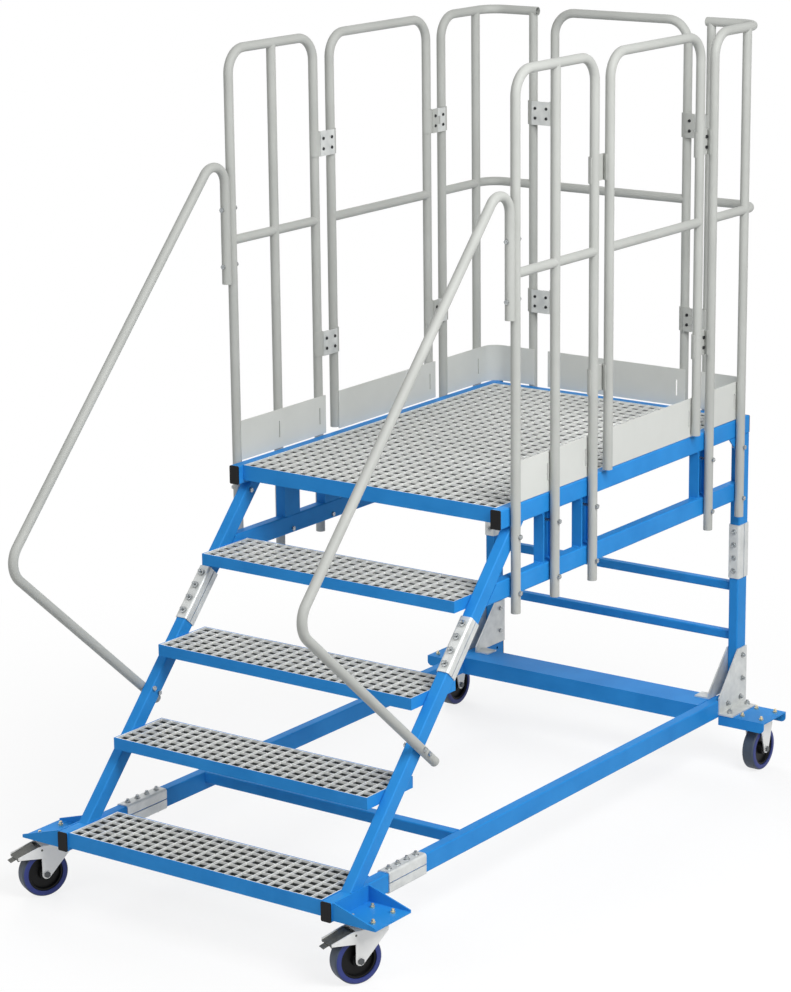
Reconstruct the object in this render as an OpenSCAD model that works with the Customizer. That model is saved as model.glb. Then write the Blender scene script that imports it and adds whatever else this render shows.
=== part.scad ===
// Mobile podium step: a five-rise stair and a grating deck on four casters,
// with bent-tube guard rails, two handrails and three hinged gates.

/* [Platform] */
// Height of the deck surface above the floor
deck_h = 1000; // [800:10:1300]
// Clear width between the side tubes, the same on the stair and the deck
clear_w = 800; // [600:10:1000]
// Length of the platform over its end caps
plat_l = 1255; // [1150:5:1500]
// Width of the rectangular frame tubes
tube_w = 30; // [25:1:40]
// Height of the horizontal frame tubes
tube_h = 50; // [40:1:60]
// Wall of the rectangular tubes
tube_wall = 2; // [1.5:0.1:3]
// Outer corner radius of the rectangular tubes
tube_r = 4; // [2.5:0.5:6]
// Thickness of the plastic end caps outside the tube
cap_t = 3; // [2:0.5:5]
// Setback of the front angle behind the tube ends
front_set = 20; // [10:1:40]
// Height of the front angle
front_bar_h = 40; // [32:1:50]
// Setback of the rear bar in front of the tube ends
rear_set = 17.5; // [10:0.5:30]
// Distance from the deck surface down to the top of the lower chord
chord_drop = 182; // [150:1:220]
// Width of the truss uprights, folded channels, along the platform
upright_d = 66; // [50:1:80]
// Leg of the triangular corner gussets
corner_leg = 60; // [50:1:80]
// Thickness of welded plates and folded sheet
plate_t = 4; // [3:0.5:6]

/* [Grating] */
// Depth of the grating bars
grating_h = 25; // [20:1:30]
// Thickness of the grating bars
bar_t = 2.5; // [2:0.1:4]
// Cells across the width
grating_cols = 24; // [16:1:30]
// Cells along the deck
deck_rows = 34; // [24:1:40]
// Cells along a tread
tread_rows = 6; // [4:1:8]
// Width of the ledge under the grating edge
ledge_w = 20; // [12:1:30]
// Thickness of the ledge and of the tread sheet
ledge_t = 3; // [2:0.5:4]

/* [Stair] */
// Horizontal distance from tread to tread
run = 186; // [170:1:220]
// Depth of each tread
tread_d = 190; // [180:1:240]
// Front edge of the top tread in front of the platform
top_tread_set = 160; // [150:1:180]
// Front edge of a tread in front of the stringer centre line
tread_nose = 100; // [90:1:110]
// Height of the upper tread frames
tread_h = 30; // [29:1:40]
// Height of the bottom tread frame
first_tread_h = 40; // [30:1:50]
// Depth of the stringer tubes square to the slope
stringer_d = 40; // [35:1:50]
// Least distance between a stringer splice and a tread
splice_gap = 2; // [1:0.5:5]

/* [Base] */
// Height of the base rails and the first tread above the floor
base_h = 200; // [195:1:230]
// Front end of the base in front of the platform
base_front = 724; // [700:1:760]
// Centre of the base splice in front of the platform
base_split = 412; // [400:1:430]
// Front face of the cross member in front of the platform
cross_set = 172; // [100:1:260]
// Square size of the cross member
cross_d = 30; // [20:1:40]
// Front face of the rear beam in front of the platform end
beam_set = 215; // [200:1:240]
// Depth of the rear beam
beam_d = 105; // [80:1:110]
// Depth of the rear posts along the base
post_d = 50; // [40:1:60]
// Height of the rear post splice
post_split_z = 613; // [560:1:660]
// Square size of the rear cross bars
bar_d = 25; // [20:1:28]
// Height of the lower rear cross bar
low_bar_z = 360; // [345:1:420]
// Height of the upper rear cross bar
high_bar_z = 505; // [470:1:520]

/* [Splices] */
// Length of the splice shells
shell_l = 156; // [140:1:180]
// Sheet thickness of the splice shells
shell_t = 3; // [2:0.5:4]
// Open line between two shells of a splice
shell_gap = 3; // [2:0.5:5]
// Outer splice bolts from the ends of the shells
shell_edge = 21; // [16:1:26]

/* [Fasteners] */
// Shank diameter of the frame bolts
bolt_d = 8; // [6:0.5:10]
// Width of the hexagon heads
bolt_hex = 13; // [10:0.5:17]
// Height of the bolt heads
bolt_head = 5; // [4:0.5:7]
// Clearance around a bolt shank
bolt_fit = 0.2; // [0.1:0.05:0.5]
// Clearance between pieces that lie against each other
seat_fit = 0.2; // [0.1:0.05:0.4]

/* [Post gussets] */
// Length of the gusset foot along the base
gusset_l = 152; // [130:1:160]
// Height of the front edge before the slant
gusset_front_h = 50; // [40:1:60]
// Top of the gusset above the base rail
gusset_top = 128; // [110:1:140]
// Width of the gusset foot
gusset_foot = 43; // [35:1:50]
// Lower post bolt above the base rail
gusset_bolt_low = 36; // [30:1:50]
// Upper post bolt above the base rail
gusset_bolt_up = 105; // [90:1:110]
// Front rail bolt behind the front edge of the gusset
gusset_bolt_front = 46; // [30:1:60]
// Rear rail bolt behind the front edge of the gusset
gusset_bolt_back = 118; // [100:1:130]
// Rail bolts above the rail centre
gusset_bolt_rise = 8; // [4:1:12]

/* [Guard rails] */
// Outer diameter of the guard tubes
rail_d = 25; // [22:0.5:28]
// Wall of the guard tubes
rail_wall = 2; // [1.5:0.1:3]
// Height of the guard rail above the deck
guard_h = 1100; // [1000:10:1200]
// Height of the knee rail centre above the deck
knee_h = 592; // [500:1:650]
// Bend radius of the guard tubes at their centre
bend_r = 64; // [55:1:85]
// Bend radius of the rails round the rear corners
corner_r = 56; // [50:1:56]
// First guard post behind the platform front
post_y = 50; // [45:1:55]
// Spacing of the three posts of a front panel
post_spacing = 180; // [150:1:200]
// Distance between neighbouring panels at their post centres
panel_gap = 73; // [72:0.5:85]
// Width of a corner panel along the side at its post centres
corner_w = 173; // [165:1:190]
// Last side post in front of the platform end
last_post_set = 75; // [70:1:80]
// Top rail end beyond the rear end post
rail_past = 2; // [1:0.5:10]
// Width of the rear gate at its post centres
rear_gate_w = 436; // [360:1:440]
// Lower end of the fixed posts below the deck
post_drop = 274; // [260:1:290]
// Lower end of the rear end posts below the deck
end_post_drop = 62; // [55:1:80]
// Upper bolt of the fixed posts below the deck
post_bolt_drop = 74; // [65:1:80]
// Lower bolt of the fixed posts above the chord underside
chord_bolt_rise = 12; // [10:1:25]
// Lower end of the gate posts above the deck
gate_lift = 8; // [5:1:20]

/* [Toe boards] */
// Top of the toe boards above the deck
toe_h = 110; // [100:1:150]
// Lower edge of the toe boards above the deck
toe_lift = 4; // [2:0.5:10]
// Sheet thickness of the toe boards
toe_t = 3; // [2:0.5:4]
// Bend radius of the corner toe boards outside
toe_bend = 45; // [30:1:60]
// Height of the slit beside a post
slit_h = 46; // [30:1:60]
// Width of the slit beside a post
slit_w = 5; // [4:0.5:8]

/* [Hinges] */
// Height of the brackets, hinges and catch plates
hinge_h = 67; // [60:1:90]
// Centre of the upper hinges above the deck
hinge_up = 800; // [720:1:840]
// Centre of the lower hinges above the deck
hinge_low = 254; // [220:1:320]
// Sheet thickness of the brackets
bracket_t = 3; // [2:0.5:4]
// Sheet thickness of the hinge leaves and catch plates
leaf_t = 2.5; // [2:0.5:3]
// Width of a hinge leaf
leaf_w = 31; // [26:1:33]
// Outer radius of the hinge knuckles
knuckle_r = 5; // [4.5:0.5:6]
// Radius of the hinge pins
pin_r = 2.5; // [2:0.5:3]
// Running clearance of pins, axles and king pins
run_fit = 0.08; // [0.04:0.01:0.1]
// Clearance between moving and fixed sheet
swing_fit = 0.4; // [0.3:0.05:0.8]
// Screw hole diameter in leaves and plates
screw_d = 5; // [4:0.5:6]
// Gap between a bracket tab and the hinge knuckles
tab_gap = 1; // [0.5:0.1:3]
// Height between the two screws of a leaf
screw_pitch = 28; // [24:1:40]

/* [Handrails] */
// Height above the second tread where a handrail crosses the stringer
handrail_foot_up = 79; // [60:1:100]
// Slope of the lower leg of the handrail
handrail_dip = 41.3; // [38:0.1:45]
// Distance of the handrail from the stringer centre line
handrail_reach = 663; // [600:1:700]
// Length of the handrail behind the stringer centre line
handrail_tail = 66; // [40:1:80]
// Bend radius at the bottom of the handrail
handrail_low_r = 60; // [45:1:80]
// Bend radius at the top of the handrail
handrail_top_r = 47; // [42:1:70]
// Lower end of the handrail leg above the deck
handrail_end = 480; // [440:1:500]
// Upper leg bolt above the deck
leg_bolt_up = 676; // [640:1:680]
// Lower leg bolt above the deck
leg_bolt_low = 527; // [510:1:560]
// Distance between the two foot bolts
foot_bolt_pitch = 26; // [20:1:28]

/* [Casters] */
// Wheel diameter
wheel_d = 125; // [100:1:125]
// Wheel width
wheel_w = 38; // [32:1:40]
// Height of a caster from the floor to its top plate
caster_h = 155; // [150:1:160]
// Length of the caster top plate
head_l = 105; // [100:1:110]
// Width of the caster top plate
head_w = 85; // [80:1:90]
// Bolt pitch of the top plate along the base
head_pitch_l = 80; // [76:1:84]
// Bolt pitch of the top plate across the base
head_pitch_w = 60; // [56:1:64]
// Sheet thickness of forks and top plates
fork_t = 3; // [2.5:0.5:4]
// Gap between the wheel and a fork leg
fork_gap = 5; // [4:0.5:8]
// Trail of the swivel casters
trail = 48; // [40:1:50]
// Turn of the swivel casters in the rest position
swivel_turn = 26; // [-180:1:180]
// Height of the ball race between a top plate and its fork
race_h = 12; // [11:0.5:14]
// Radius of the ball race
race_r = 30; // [26:1:32]
// Reach of a swivel fork behind its swivel axis
fork_back = 28; // [24:1:32]
// Radius of the round leg ends
leg_end_r = 12; // [10:0.5:14]
// Axle radius
axle_r = 5; // [4:0.5:6]
// Width of the axle nuts
axle_nut = 17; // [15:1:19]
// Thickness of the tyre
tyre_t = 15; // [10:1:18]
// Rounding of the tyre edges
tyre_round = 7; // [5:0.5:9]
// Radius of the hub boss
hub_boss_r = 16; // [12:1:20]
// Thickness of the hub web
hub_web = 15; // [10:1:20]
// Thickness of the hub rim
hub_rim = 5; // [4:0.5:7]
// Setback of the rim from the side of the tyre
hub_set = 3; // [2:0.5:5]
// Slant of the boss and rim walls
hub_draft = 2; // [1:0.5:4]
// Length of the hub beyond the tyre at each side
hub_over = 1; // [0.5:0.5:3]
// King pin radius
king_r = 6; // [5:0.5:8]
// Front caster centre outside the frame tubes
front_caster_out = 66; // [60:1:75]
// Front caster bracket behind the front end of the base
front_bracket_set = 6; // [4:1:12]
// Front caster bracket length along the base
front_bracket_l = 145; // [140:1:160]
// Front caster bracket width
front_bracket_w = 126; // [120:1:140]
// Rear caster centre outside the frame tubes
rear_caster_out = 94; // [80:1:100]
// Height of the front bracket cheeks at their outer end
bracket_tip = 8; // [6:1:14]
// Rear caster centre in front of the platform end
rear_caster_set = 85; // [80:1:90]
// Rear caster plate width
rear_plate_w = 145; // [140:1:160]
// Rear caster plate length along the base
rear_plate_l = 130; // [126:1:140]
// Depth of the rear plate flanges
rear_flange = 26; // [20:1:28]
// Reach of the fork ears in front of the axle
ear_reach = 76; // [70:1:80]
// Height of the ear tips above the floor
ear_tip_z = 113; // [108:1:116]
// Height of the ears' lower edge at the legs
ear_low_z = 107; // [100:1:112]
// Pedal pivot in front of the axle
pedal_ahead = 11; // [8:1:14]
// Radius of the pedal pins
pedal_pin_r = 3; // [2.5:0.5:4]
// Gap between a pedal pin and the wheel
pedal_gap = 1.5; // [1:0.1:2]
// Sheet thickness of the pedals
pedal_sheet = 2; // [1.5:0.1:2.5]
// Height of the pedal plate above its pivot
pedal_rise = 11; // [9:1:13]
// Start of the pedal plate in front of its pivot
pedal_set = 7; // [5:1:9]
// Reach of the pedal cheeks round the pivot
pedal_foot = 4; // [3.5:0.5:5]
// Slope of the brake pedals
pedal_tilt = 22; // [18:1:24]
// Length of a brake pedal plate
pedal_l = 61; // [55:1:64]
// Length of the release tab at a pedal's tip
pedal_tab = 15; // [10:1:20]

/* [Hidden] */
$fn = 48;
big = 3000;
eps = 0.5;
hair = 0.05;
// The four tread nodes fix the number of rises
rises = 5;
bend_lap = 1.5;
bend_swell = 0.05;
tee_step = 0.1;
xi = clear_w / 2;
xo = xi + tube_w;
xm = xi + tube_w / 2;
rise = (deck_h - base_h) / (rises - 1);
base_top = base_h;
base_mid = base_top - tube_h / 2;
rail_bottom = deck_h - tube_h;
chord_top = deck_h - chord_drop;
chord_bottom = chord_top - tube_h;
slope = atan2(rise, run);
// The stringer splice is in the middle between the two top treads and as long as fits there
stringer_split_z = (tread_z(rises - 2) + tread_z(rises - 1) - tread_h) / 2;
shell_half = stringer_d / 2 + seat_fit + shell_t;
stringer_shell_l = min(shell_l, (rise - tread_h - 2 * splice_gap - 2 * shell_half * cos(slope)) / sin(slope));
rear_bar_back = plat_l - rear_set;
rear_bar_front = rear_bar_back - tube_w;
post_mid_y = plat_l - post_d / 2;
post_front_y = plat_l - post_d;
beam_y = plat_l - beam_set;
// Guard tube planes: the tubes lie against the frame
rail_r = rail_d / 2;
guard_x = xo + rail_r + seat_fit;
guard_back = rear_bar_back + rail_r + seat_fit;
guard_top = deck_h + guard_h - rail_r;
knee_z = deck_h + knee_h;
side_posts = [post_y, post_y + post_spacing, post_y + 2 * post_spacing];
last_post_y = plat_l - last_post_set;
corner_y = [last_post_y - corner_w, last_post_y];
gate_y = [side_posts[2] + panel_gap, corner_y[0] - panel_gap];
rear_gate_x = rear_gate_w / 2;
end_post_x = rear_gate_x + panel_gap;
post_bolts_z = [deck_h - post_bolt_drop, chord_bottom + chord_bolt_rise];
end_bolt_z = deck_h - tube_h / 2;
hinge_z = [deck_h + hinge_low, deck_h + hinge_up];
// Hinge sections are drawn with the gap centre at the origin and the outside at +Y
bracket_out = -(rail_r + seat_fit);
leaf_out = bracket_out - bracket_t;
axis_out = leaf_out - leaf_t + knuckle_r;
tab_start = knuckle_r + swing_fit + tab_gap;
knuckle_l = hinge_h / 3;
inner_knuckle = [[-knuckle_l / 2, knuckle_l / 2]];
outer_knuckles = [[-hinge_h / 2, -knuckle_l / 2], [knuckle_l / 2, hinge_h / 2]];
// Handrail corner points in the side view
foot_z = tread_z(2) + handrail_foot_up;
foot = [stringer_y(foot_z), foot_z];
up_slope = [cos(slope), sin(slope)];
foot_dir = [-cos(handrail_dip), sin(handrail_dip)];
leg_y = post_y - rail_d - seat_fit;
low_corner = foot + handrail_reach * foot_dir;
top_corner = low_corner + up_slope * (leg_y - low_corner[0]) / up_slope[0];
handrail_path = [
    foot - handrail_tail * foot_dir,
    low_corner,
    top_corner,
    [leg_y, deck_h + handrail_end]
];
// Casters
wheel_r = wheel_d / 2;
leg_x = wheel_w / 2 + fork_gap;
head_z = caster_h - fork_t;
crown_z = head_z - race_h;
tyre_in = wheel_r - tyre_t;
hub_w = wheel_w + 2 * hub_over;
rim_w = wheel_w - 2 * hub_set;
pan_z = caster_h;
front_caster_x = xo + front_caster_out;
front_bracket_y = front_bracket_set - base_front;
front_caster_y = front_bracket_y + front_bracket_l / 2;
rear_caster_x = xo + rear_caster_out;
rear_caster_y = plat_l - rear_caster_set;
rear_plate_y = rear_caster_y - rear_plate_l / 2;
rear_leg_half = (head_pitch_l - bolt_hex) / 2 - fork_t;
gusset_y = plat_l - gusset_l;
pedal_y = -trail - pedal_ahead;
pedal_z = wheel_d + pedal_pin_r + pedal_gap;
pedal_cheek_x = leg_x - swing_fit - pedal_sheet;
// Overall length decides the origin: the floor under the middle of the object
low_bend_out = handrail_low_r / sin((slope + handrail_dip) / 2);
low_bend_centre_y = low_corner[0] + low_bend_out * cos((slope - handrail_dip) / 2);
front_end = low_bend_centre_y - handrail_low_r - rail_r;
back_end = guard_back + rail_r + bolt_head;
mid_y = (front_end + back_end) / 2;

blue = "#2F7FCB";
grey = "#C8CAC6";
zinc = "#D8D8D6";
black = "#1C1C1E";

// Place of the stringer centre line at a height
function stringer_y(z) = tread_nose - top_tread_set + (z - tread_z(rises - 1)) * run / rise;
// Top of a tread, counted from the floor
function tread_z(i) = base_h + (i - 1) * rise;
// Front edge of a tread, counted from the floor
function tread_y(i) = -top_tread_set - (rises - 1 - i) * run;

// Common shapes

module place() {
    translate([0, -mid_y, 0]) children();
}

module both() {
    children();
    mirror([1, 0, 0]) children();
}

module along_x(y, z, x0, x1) {
    translate([x0, y, z]) rotate([90, 0, 90]) linear_extrude(x1 - x0) children();
}

module along_y(x, z, y0, y1) {
    translate([x, y0, z]) rotate([-90, 0, 0]) linear_extrude(y1 - y0) children();
}

module along_z(x, y, z0, z1) {
    translate([x, y, z0]) linear_extrude(z1 - z0) children();
}

// Rectangle with round corners, drawn from squares and circles
module round_rect(w, d, r) {
    square([w - 2 * r, d], center = true);
    square([w, d - 2 * r], center = true);
    for (x = [-1, 1], y = [-1, 1])
        translate([x * (w / 2 - r), y * (d / 2 - r)]) circle(r);
}

module tube_section(w, d) {
    difference() {
        round_rect(w, d, tube_r);
        round_rect(w - 2 * tube_wall, d - 2 * tube_wall, tube_r - tube_wall);
    }
}

// Rod of radius r along a flat path in the XY plane, with a bend at each inner point. A bend is
// a hair thicker than the straights, which run a little way into it.
module bent_rod(path, radii, r, start_over = 0, end_over = 0) {
    n = len(path);
    dirs = [for (i = [0:n - 2]) (path[i + 1] - path[i]) / norm(path[i + 1] - path[i])];
    angles = [for (d = dirs) atan2(d[1], d[0])];
    turns = [for (i = [0:1:n - 3]) (angles[i + 1] - angles[i] + 540) % 360 - 180];
    bends = [for (i = [0:1:n - 3]) radii[i] * tan(abs(turns[i]) / 2)];
    trims = concat([-start_over], [for (b = bends) b - bend_lap], [-end_over]);
    for (i = [0:n - 2])
        translate(concat(path[i] + dirs[i] * trims[i], [0]))
            rotate([0, 90, angles[i]])
                cylinder(r = r, h = norm(path[i + 1] - path[i]) - trims[i] - trims[i + 1]);
    for (i = [0:1:n - 3]) {
        side = sign(turns[i]);
        start = path[i + 1] - dirs[i] * bends[i];
        centre = start + side * radii[i] * [-dirs[i][1], dirs[i][0]];
        translate(concat(centre, [0]))
            rotate([0, 0, angles[i] - side * 90 + (side < 0 ? turns[i] : 0)])
                rotate_extrude(angle = abs(turns[i])) translate([radii[i], 0]) circle(r + bend_swell);
    }
}

// Side view plane: local X runs along Y, local Y runs up
module in_side_plane(x) {
    translate([x, 0, 0]) rotate([90, 0, 90]) children();
}

module hex_bolt(grip, nut = true) {
    translate([0, 0, -grip]) cylinder(d = bolt_d, h = grip + eps);
    cylinder(d = bolt_hex, h = bolt_head, $fn = 6);
    if (nut) translate([0, 0, -grip - bolt_head]) cylinder(d = bolt_hex, h = bolt_head, $fn = 6);
}

// Rectangular grid of bars with nx by ny openings and a border of one bar
module grating(w, d, nx, ny, h) {
    px = (w - bar_t) / nx;
    py = (d - bar_t) / ny;
    linear_extrude(h) difference() {
        square([w, d]);
        for (i = [0:nx - 1], j = [0:ny - 1])
            translate([bar_t + i * px, bar_t + j * py]) square([px - bar_t, py - bar_t]);
    }
}

// Splices: tube axis on Z, bolts along Y with their heads at +Y

module at_splice_bolts(l) {
    pitch = (l - 2 * shell_edge) / 3;
    for (i = [0:3])
        translate([0, 0, i * pitch + shell_edge - l / 2]) children();
}

module splice_hole(d, l) {
    at_splice_bolts(l)
        rotate([90, 0, 0]) cylinder(d = bolt_d + 2 * bolt_fit, h = d + 4 * tube_h, center = true);
}

module splice_shell_pair(w, d, l) {
    c = 2 * seat_fit;
    for (turn = [0, 180])
        rotate([0, 0, turn])
            difference() {
                linear_extrude(l, center = true)
                    difference() {
                        round_rect(w + c + 2 * shell_t, d + c + 2 * shell_t, tube_r + shell_t);
                        round_rect(w + c, d + c, tube_r);
                        translate([-big / 2, shell_gap / 2 - big]) square(big);
                    }
                splice_hole(d, l);
            }
}

module splice_bolt_row(d, l) {
    grip = d + 2 * seat_fit + 2 * shell_t;
    at_splice_bolts(l)
        translate([0, grip / 2, 0]) rotate([-90, 0, 0]) hex_bolt(grip);
}

module at_base_splice() {
    translate([xm, -base_split, base_mid]) rotate([90, 0, 0]) children();
}

module at_stringer(x, z) {
    translate([x, stringer_y(z), z]) rotate([90 - slope, 0, 180]) children();
}

module at_post_splice() {
    translate([xm, post_mid_y, post_split_z]) rotate([0, 0, 180]) children();
}

// Base

module base_stubs() {
    color(blue) both() difference() {
        along_y(xm, base_mid, cap_t - base_front, -base_split) tube_section(tube_w, tube_h);
        at_base_splice() splice_hole(tube_h, shell_l);
    }
}

module base_rails() {
    color(blue) both() difference() {
        along_y(xm, base_mid, -base_split + seat_fit, plat_l - cap_t) tube_section(tube_w, tube_h);
        at_base_splice() splice_hole(tube_h, shell_l);
        gusset_rail_bolts() bolt_clear();
    }
}

module base_cross_member() {
    color(blue)
        along_x(-cross_set + cross_d / 2, base_top - cross_d / 2, -xi, xi) tube_section(cross_d, cross_d);
}

// Folded channel, open below
module rear_beam() {
    color(blue) along_x(beam_y, base_top, -xi, xi)
        difference() {
            translate([0, -tube_h]) square([beam_d, tube_h]);
            translate([plate_t, -tube_h]) square([beam_d - 2 * plate_t, tube_h - plate_t]);
        }
}

// Plate with two flanges turned down, welded to the outer face of the base rail
module rear_caster_plates() {
    corner = rear_flange / 2;
    color(blue) both() difference() {
        translate([xo, rear_plate_y, pan_z - rear_flange])
            cube([rear_plate_w, rear_plate_l, rear_flange + plate_t]);
        translate([xo - eps, rear_plate_y + plate_t, pan_z - rear_flange - eps])
            cube([rear_plate_w + 2 * eps, rear_plate_l - 2 * plate_t, rear_flange + eps]);
        translate([xo + rear_plate_w - corner, rear_plate_y - eps, pan_z - rear_flange])
            rotate([-90, 0, 0]) difference() {
                translate([0, -corner, 0]) cube([corner + eps, corner + eps, rear_plate_l + 2 * eps]);
                translate([0, -corner, -eps]) cylinder(r = corner, h = rear_plate_l + 4 * eps);
            }
        at_head_bolts(rear_caster_x, rear_caster_y) bolt_clear();
    }
}

// Pan: inner wall on the stub, floor plate, and two cheeks that taper outwards
module front_caster_brackets() {
    wall_h = base_top - pan_z;
    far = front_bracket_w;
    color(blue) both() difference() {
        translate([xo, front_bracket_y, pan_z]) union() {
            cube([plate_t, front_bracket_l, wall_h]);
            cube([far, front_bracket_l, plate_t]);
            for (y = [0, front_bracket_l - plate_t])
                translate([0, y + plate_t, 0]) rotate([90, 0, 0]) linear_extrude(plate_t)
                    polygon([[0, 0], [far, 0], [far, bracket_tip], [plate_t, wall_h], [0, wall_h]]);
        }
        at_head_bolts(front_caster_x, front_caster_y) bolt_clear();
    }
}

// Stair

module stringer_tube(s0, s1) {
    at_stringer(xm, stringer_split_z)
        translate([0, 0, s0]) linear_extrude(s1 - s0) tube_section(tube_w, stringer_d);
}

module lower_stringers() {
    length = (stringer_split_z - base_top) / sin(slope) + stringer_d;
    color(blue) both() difference() {
        stringer_tube(-length, -seat_fit / 2);
        translate([0, -big / 2, base_top - big]) cube(big);
        at_stringer(xm, stringer_split_z) splice_hole(stringer_d, stringer_shell_l);
        handrail_foot_bolts() bolt_clear();
    }
}

module upper_stringers() {
    length = (rail_bottom - stringer_split_z) / sin(slope) + stringer_d;
    color(blue) both() difference() {
        stringer_tube(seat_fit / 2, length);
        translate([0, -big / 2, rail_bottom]) cube(big);
        at_stringer(xm, stringer_split_z) splice_hole(stringer_d, stringer_shell_l);
        side_post_bolts() bolt_clear();
    }
}

module tread_frame(i) {
    h = i == 1 ? first_tread_h : tread_h;
    w = clear_w - 2 * seat_fit;
    ledge_z = grating_h + ledge_t;
    color(blue) translate([-w / 2, tread_y(i), tread_z(i)]) difference() {
        translate([0, 0, -h]) cube([w, tread_d, h]);
        translate([ledge_t, ledge_t, -grating_h])
            cube([w - 2 * ledge_t, tread_d - 2 * ledge_t, grating_h + eps]);
        translate([ledge_w, ledge_w, -h - eps]) cube([w - 2 * ledge_w, tread_d - 2 * ledge_w, h]);
        if (h > ledge_z)
            translate([ledge_t, ledge_t, -h - eps])
                cube([w - 2 * ledge_t, tread_d - 2 * ledge_t, h - ledge_z + eps]);
    }
}

module tread_gratings() {
    inset = ledge_t + seat_fit;
    w = clear_w - 2 * seat_fit - 2 * inset;
    color(zinc) for (i = [1:rises - 1])
        translate([-w / 2, tread_y(i) + inset, tread_z(i) - grating_h])
            grating(w, tread_d - 2 * inset, grating_cols, tread_rows, grating_h);
}

// Splices and frame bolts

module splice_shells() {
    color(zinc) both() {
        at_base_splice() splice_shell_pair(tube_w, tube_h, shell_l);
        at_stringer(xm, stringer_split_z) splice_shell_pair(tube_w, stringer_d, stringer_shell_l);
        at_post_splice() splice_shell_pair(tube_w, post_d, shell_l);
    }
}

module frame_bolts() {
    color(zinc) both() {
        at_base_splice() splice_bolt_row(tube_h, shell_l);
        at_stringer(xm, stringer_split_z) splice_bolt_row(stringer_d, stringer_shell_l);
        at_post_splice() splice_bolt_row(post_d, shell_l);
        gusset_post_bolts() hex_bolt(tube_w + 2 * seat_fit + 2 * plate_t);
        gusset_rail_bolts() hex_bolt(tube_w / 2, nut = false);
    }
}

// Platform

module platform_rails() {
    color(blue) both() along_y(xm, deck_h - tube_h / 2, cap_t, plat_l - cap_t) tube_section(tube_w, tube_h);
}

// Front angle that carries the grating edge, and the rear bar
module deck_end_bars() {
    color(blue) {
        along_x(front_set, deck_h, -xi, xi) union() {
            translate([0, -front_bar_h]) square([ledge_t, front_bar_h]);
            translate([0, -grating_h - ledge_t]) square([ledge_t + ledge_w, ledge_t]);
        }
        difference() {
            along_x(rear_bar_front + tube_w / 2, deck_h - tube_h / 2, -xi, xi) tube_section(tube_w, tube_h);
            end_post_bolts() bolt_clear();
        }
    }
}

module deck_ledges() {
    y0 = front_set + ledge_t + ledge_w + seat_fit;
    color(blue) both()
        translate([xi - ledge_w, y0, deck_h - grating_h - ledge_t])
            cube([ledge_w, rear_bar_front - y0, ledge_t]);
}

module lower_chords() {
    splice_room = [tube_h, post_d + 2 * (shell_t + bolt_head) + 4 * seat_fit, shell_l + 4 * seat_fit];
    color(blue) both() difference() {
        along_y(xm, chord_top - tube_h / 2, stringer_y(chord_bottom), post_front_y)
            tube_section(tube_w, tube_h);
        at_stringer(xm, chord_top) translate([-big / 2, -stringer_d / 2 - seat_fit, -big / 2]) cube(big);
        at_post_splice() cube(splice_room, center = true);
        side_post_bolts() bolt_clear();
    }
}

// Folded channel, open at the outside
module channel_section(w, d) {
    difference() {
        square([w, d], center = true);
        translate([plate_t, 0]) square([w, d - 2 * plate_t], center = true);
    }
}

module truss_uprights() {
    color(blue) both() difference() {
        for (y = [side_posts[1], side_posts[2], corner_y[0]])
            along_z(xm, y, chord_top, rail_bottom) channel_section(tube_w, upright_d);
        side_post_bolts() bolt_clear();
    }
}

module upper_rear_posts() {
    color(blue) both() difference() {
        along_z(xm, post_mid_y, post_split_z + seat_fit / 2, rail_bottom) tube_section(tube_w, post_d);
        at_post_splice() splice_hole(post_d, shell_l);
    }
}

module lower_rear_posts() {
    color(blue) both() difference() {
        along_z(xm, post_mid_y, base_top, post_split_z - seat_fit / 2) tube_section(tube_w, post_d);
        at_post_splice() splice_hole(post_d, shell_l);
        gusset_post_bolts() bolt_clear();
    }
}

module corner_gussets() {
    color(blue) both() difference() {
        translate([xo - plate_t, post_front_y, rail_bottom]) rotate([90, 0, 90]) linear_extrude(plate_t)
            polygon([[0, 0], [-corner_leg, 0], [0, -corner_leg]]);
        side_post_bolts() bolt_clear();
    }
}

module rear_cross_bars() {
    color(blue) for (z = [low_bar_z, high_bar_z])
        along_x(post_mid_y, z, -xi, xi) tube_section(bar_d, bar_d);
}

// Post gussets: one on each side of the post, with a foot on the beam or the caster plate

module gusset_post_bolts() {
    for (z = [gusset_bolt_low, gusset_bolt_up])
        translate([xo + seat_fit + plate_t, post_mid_y, base_top + z]) rotate([0, 90, 0]) children();
}

module gusset_rail_bolts() {
    for (y = [gusset_bolt_front, gusset_bolt_back])
        translate([xo + seat_fit + plate_t, gusset_y + y, base_mid + gusset_bolt_rise])
            rotate([0, 90, 0]) children();
}

module gusset_plate(bottom, slant_z) {
    translate([0, gusset_y, 0]) rotate([90, 0, 90]) linear_extrude(plate_t)
        polygon([
            [0, bottom], [gusset_l, bottom], [gusset_l, base_top + gusset_top],
            [gusset_l - post_d, base_top + gusset_top], [0, slant_z]
        ]);
}

module post_gussets() {
    outer_foot_z = pan_z + plate_t;
    inner_foot_l = beam_y + beam_d - gusset_y;
    color(zinc) both() {
        difference() {
            translate([xo + seat_fit, 0, 0]) gusset_plate(outer_foot_z, outer_foot_z + gusset_front_h);
            gusset_post_bolts() bolt_clear();
            gusset_rail_bolts() bolt_clear();
        }
        translate([xo + seat_fit + plate_t, gusset_y, outer_foot_z])
            cube([gusset_foot, rear_plate_y + rear_plate_l - gusset_y, plate_t]);
        difference() {
            translate([xi - seat_fit - plate_t, 0, 0]) gusset_plate(base_top, base_top + gusset_front_h / 3);
            gusset_post_bolts() bolt_clear();
        }
        translate([xi - seat_fit - plate_t - gusset_foot, gusset_y, base_top])
            cube([gusset_foot, inner_foot_l, plate_t]);
    }
}

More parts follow.
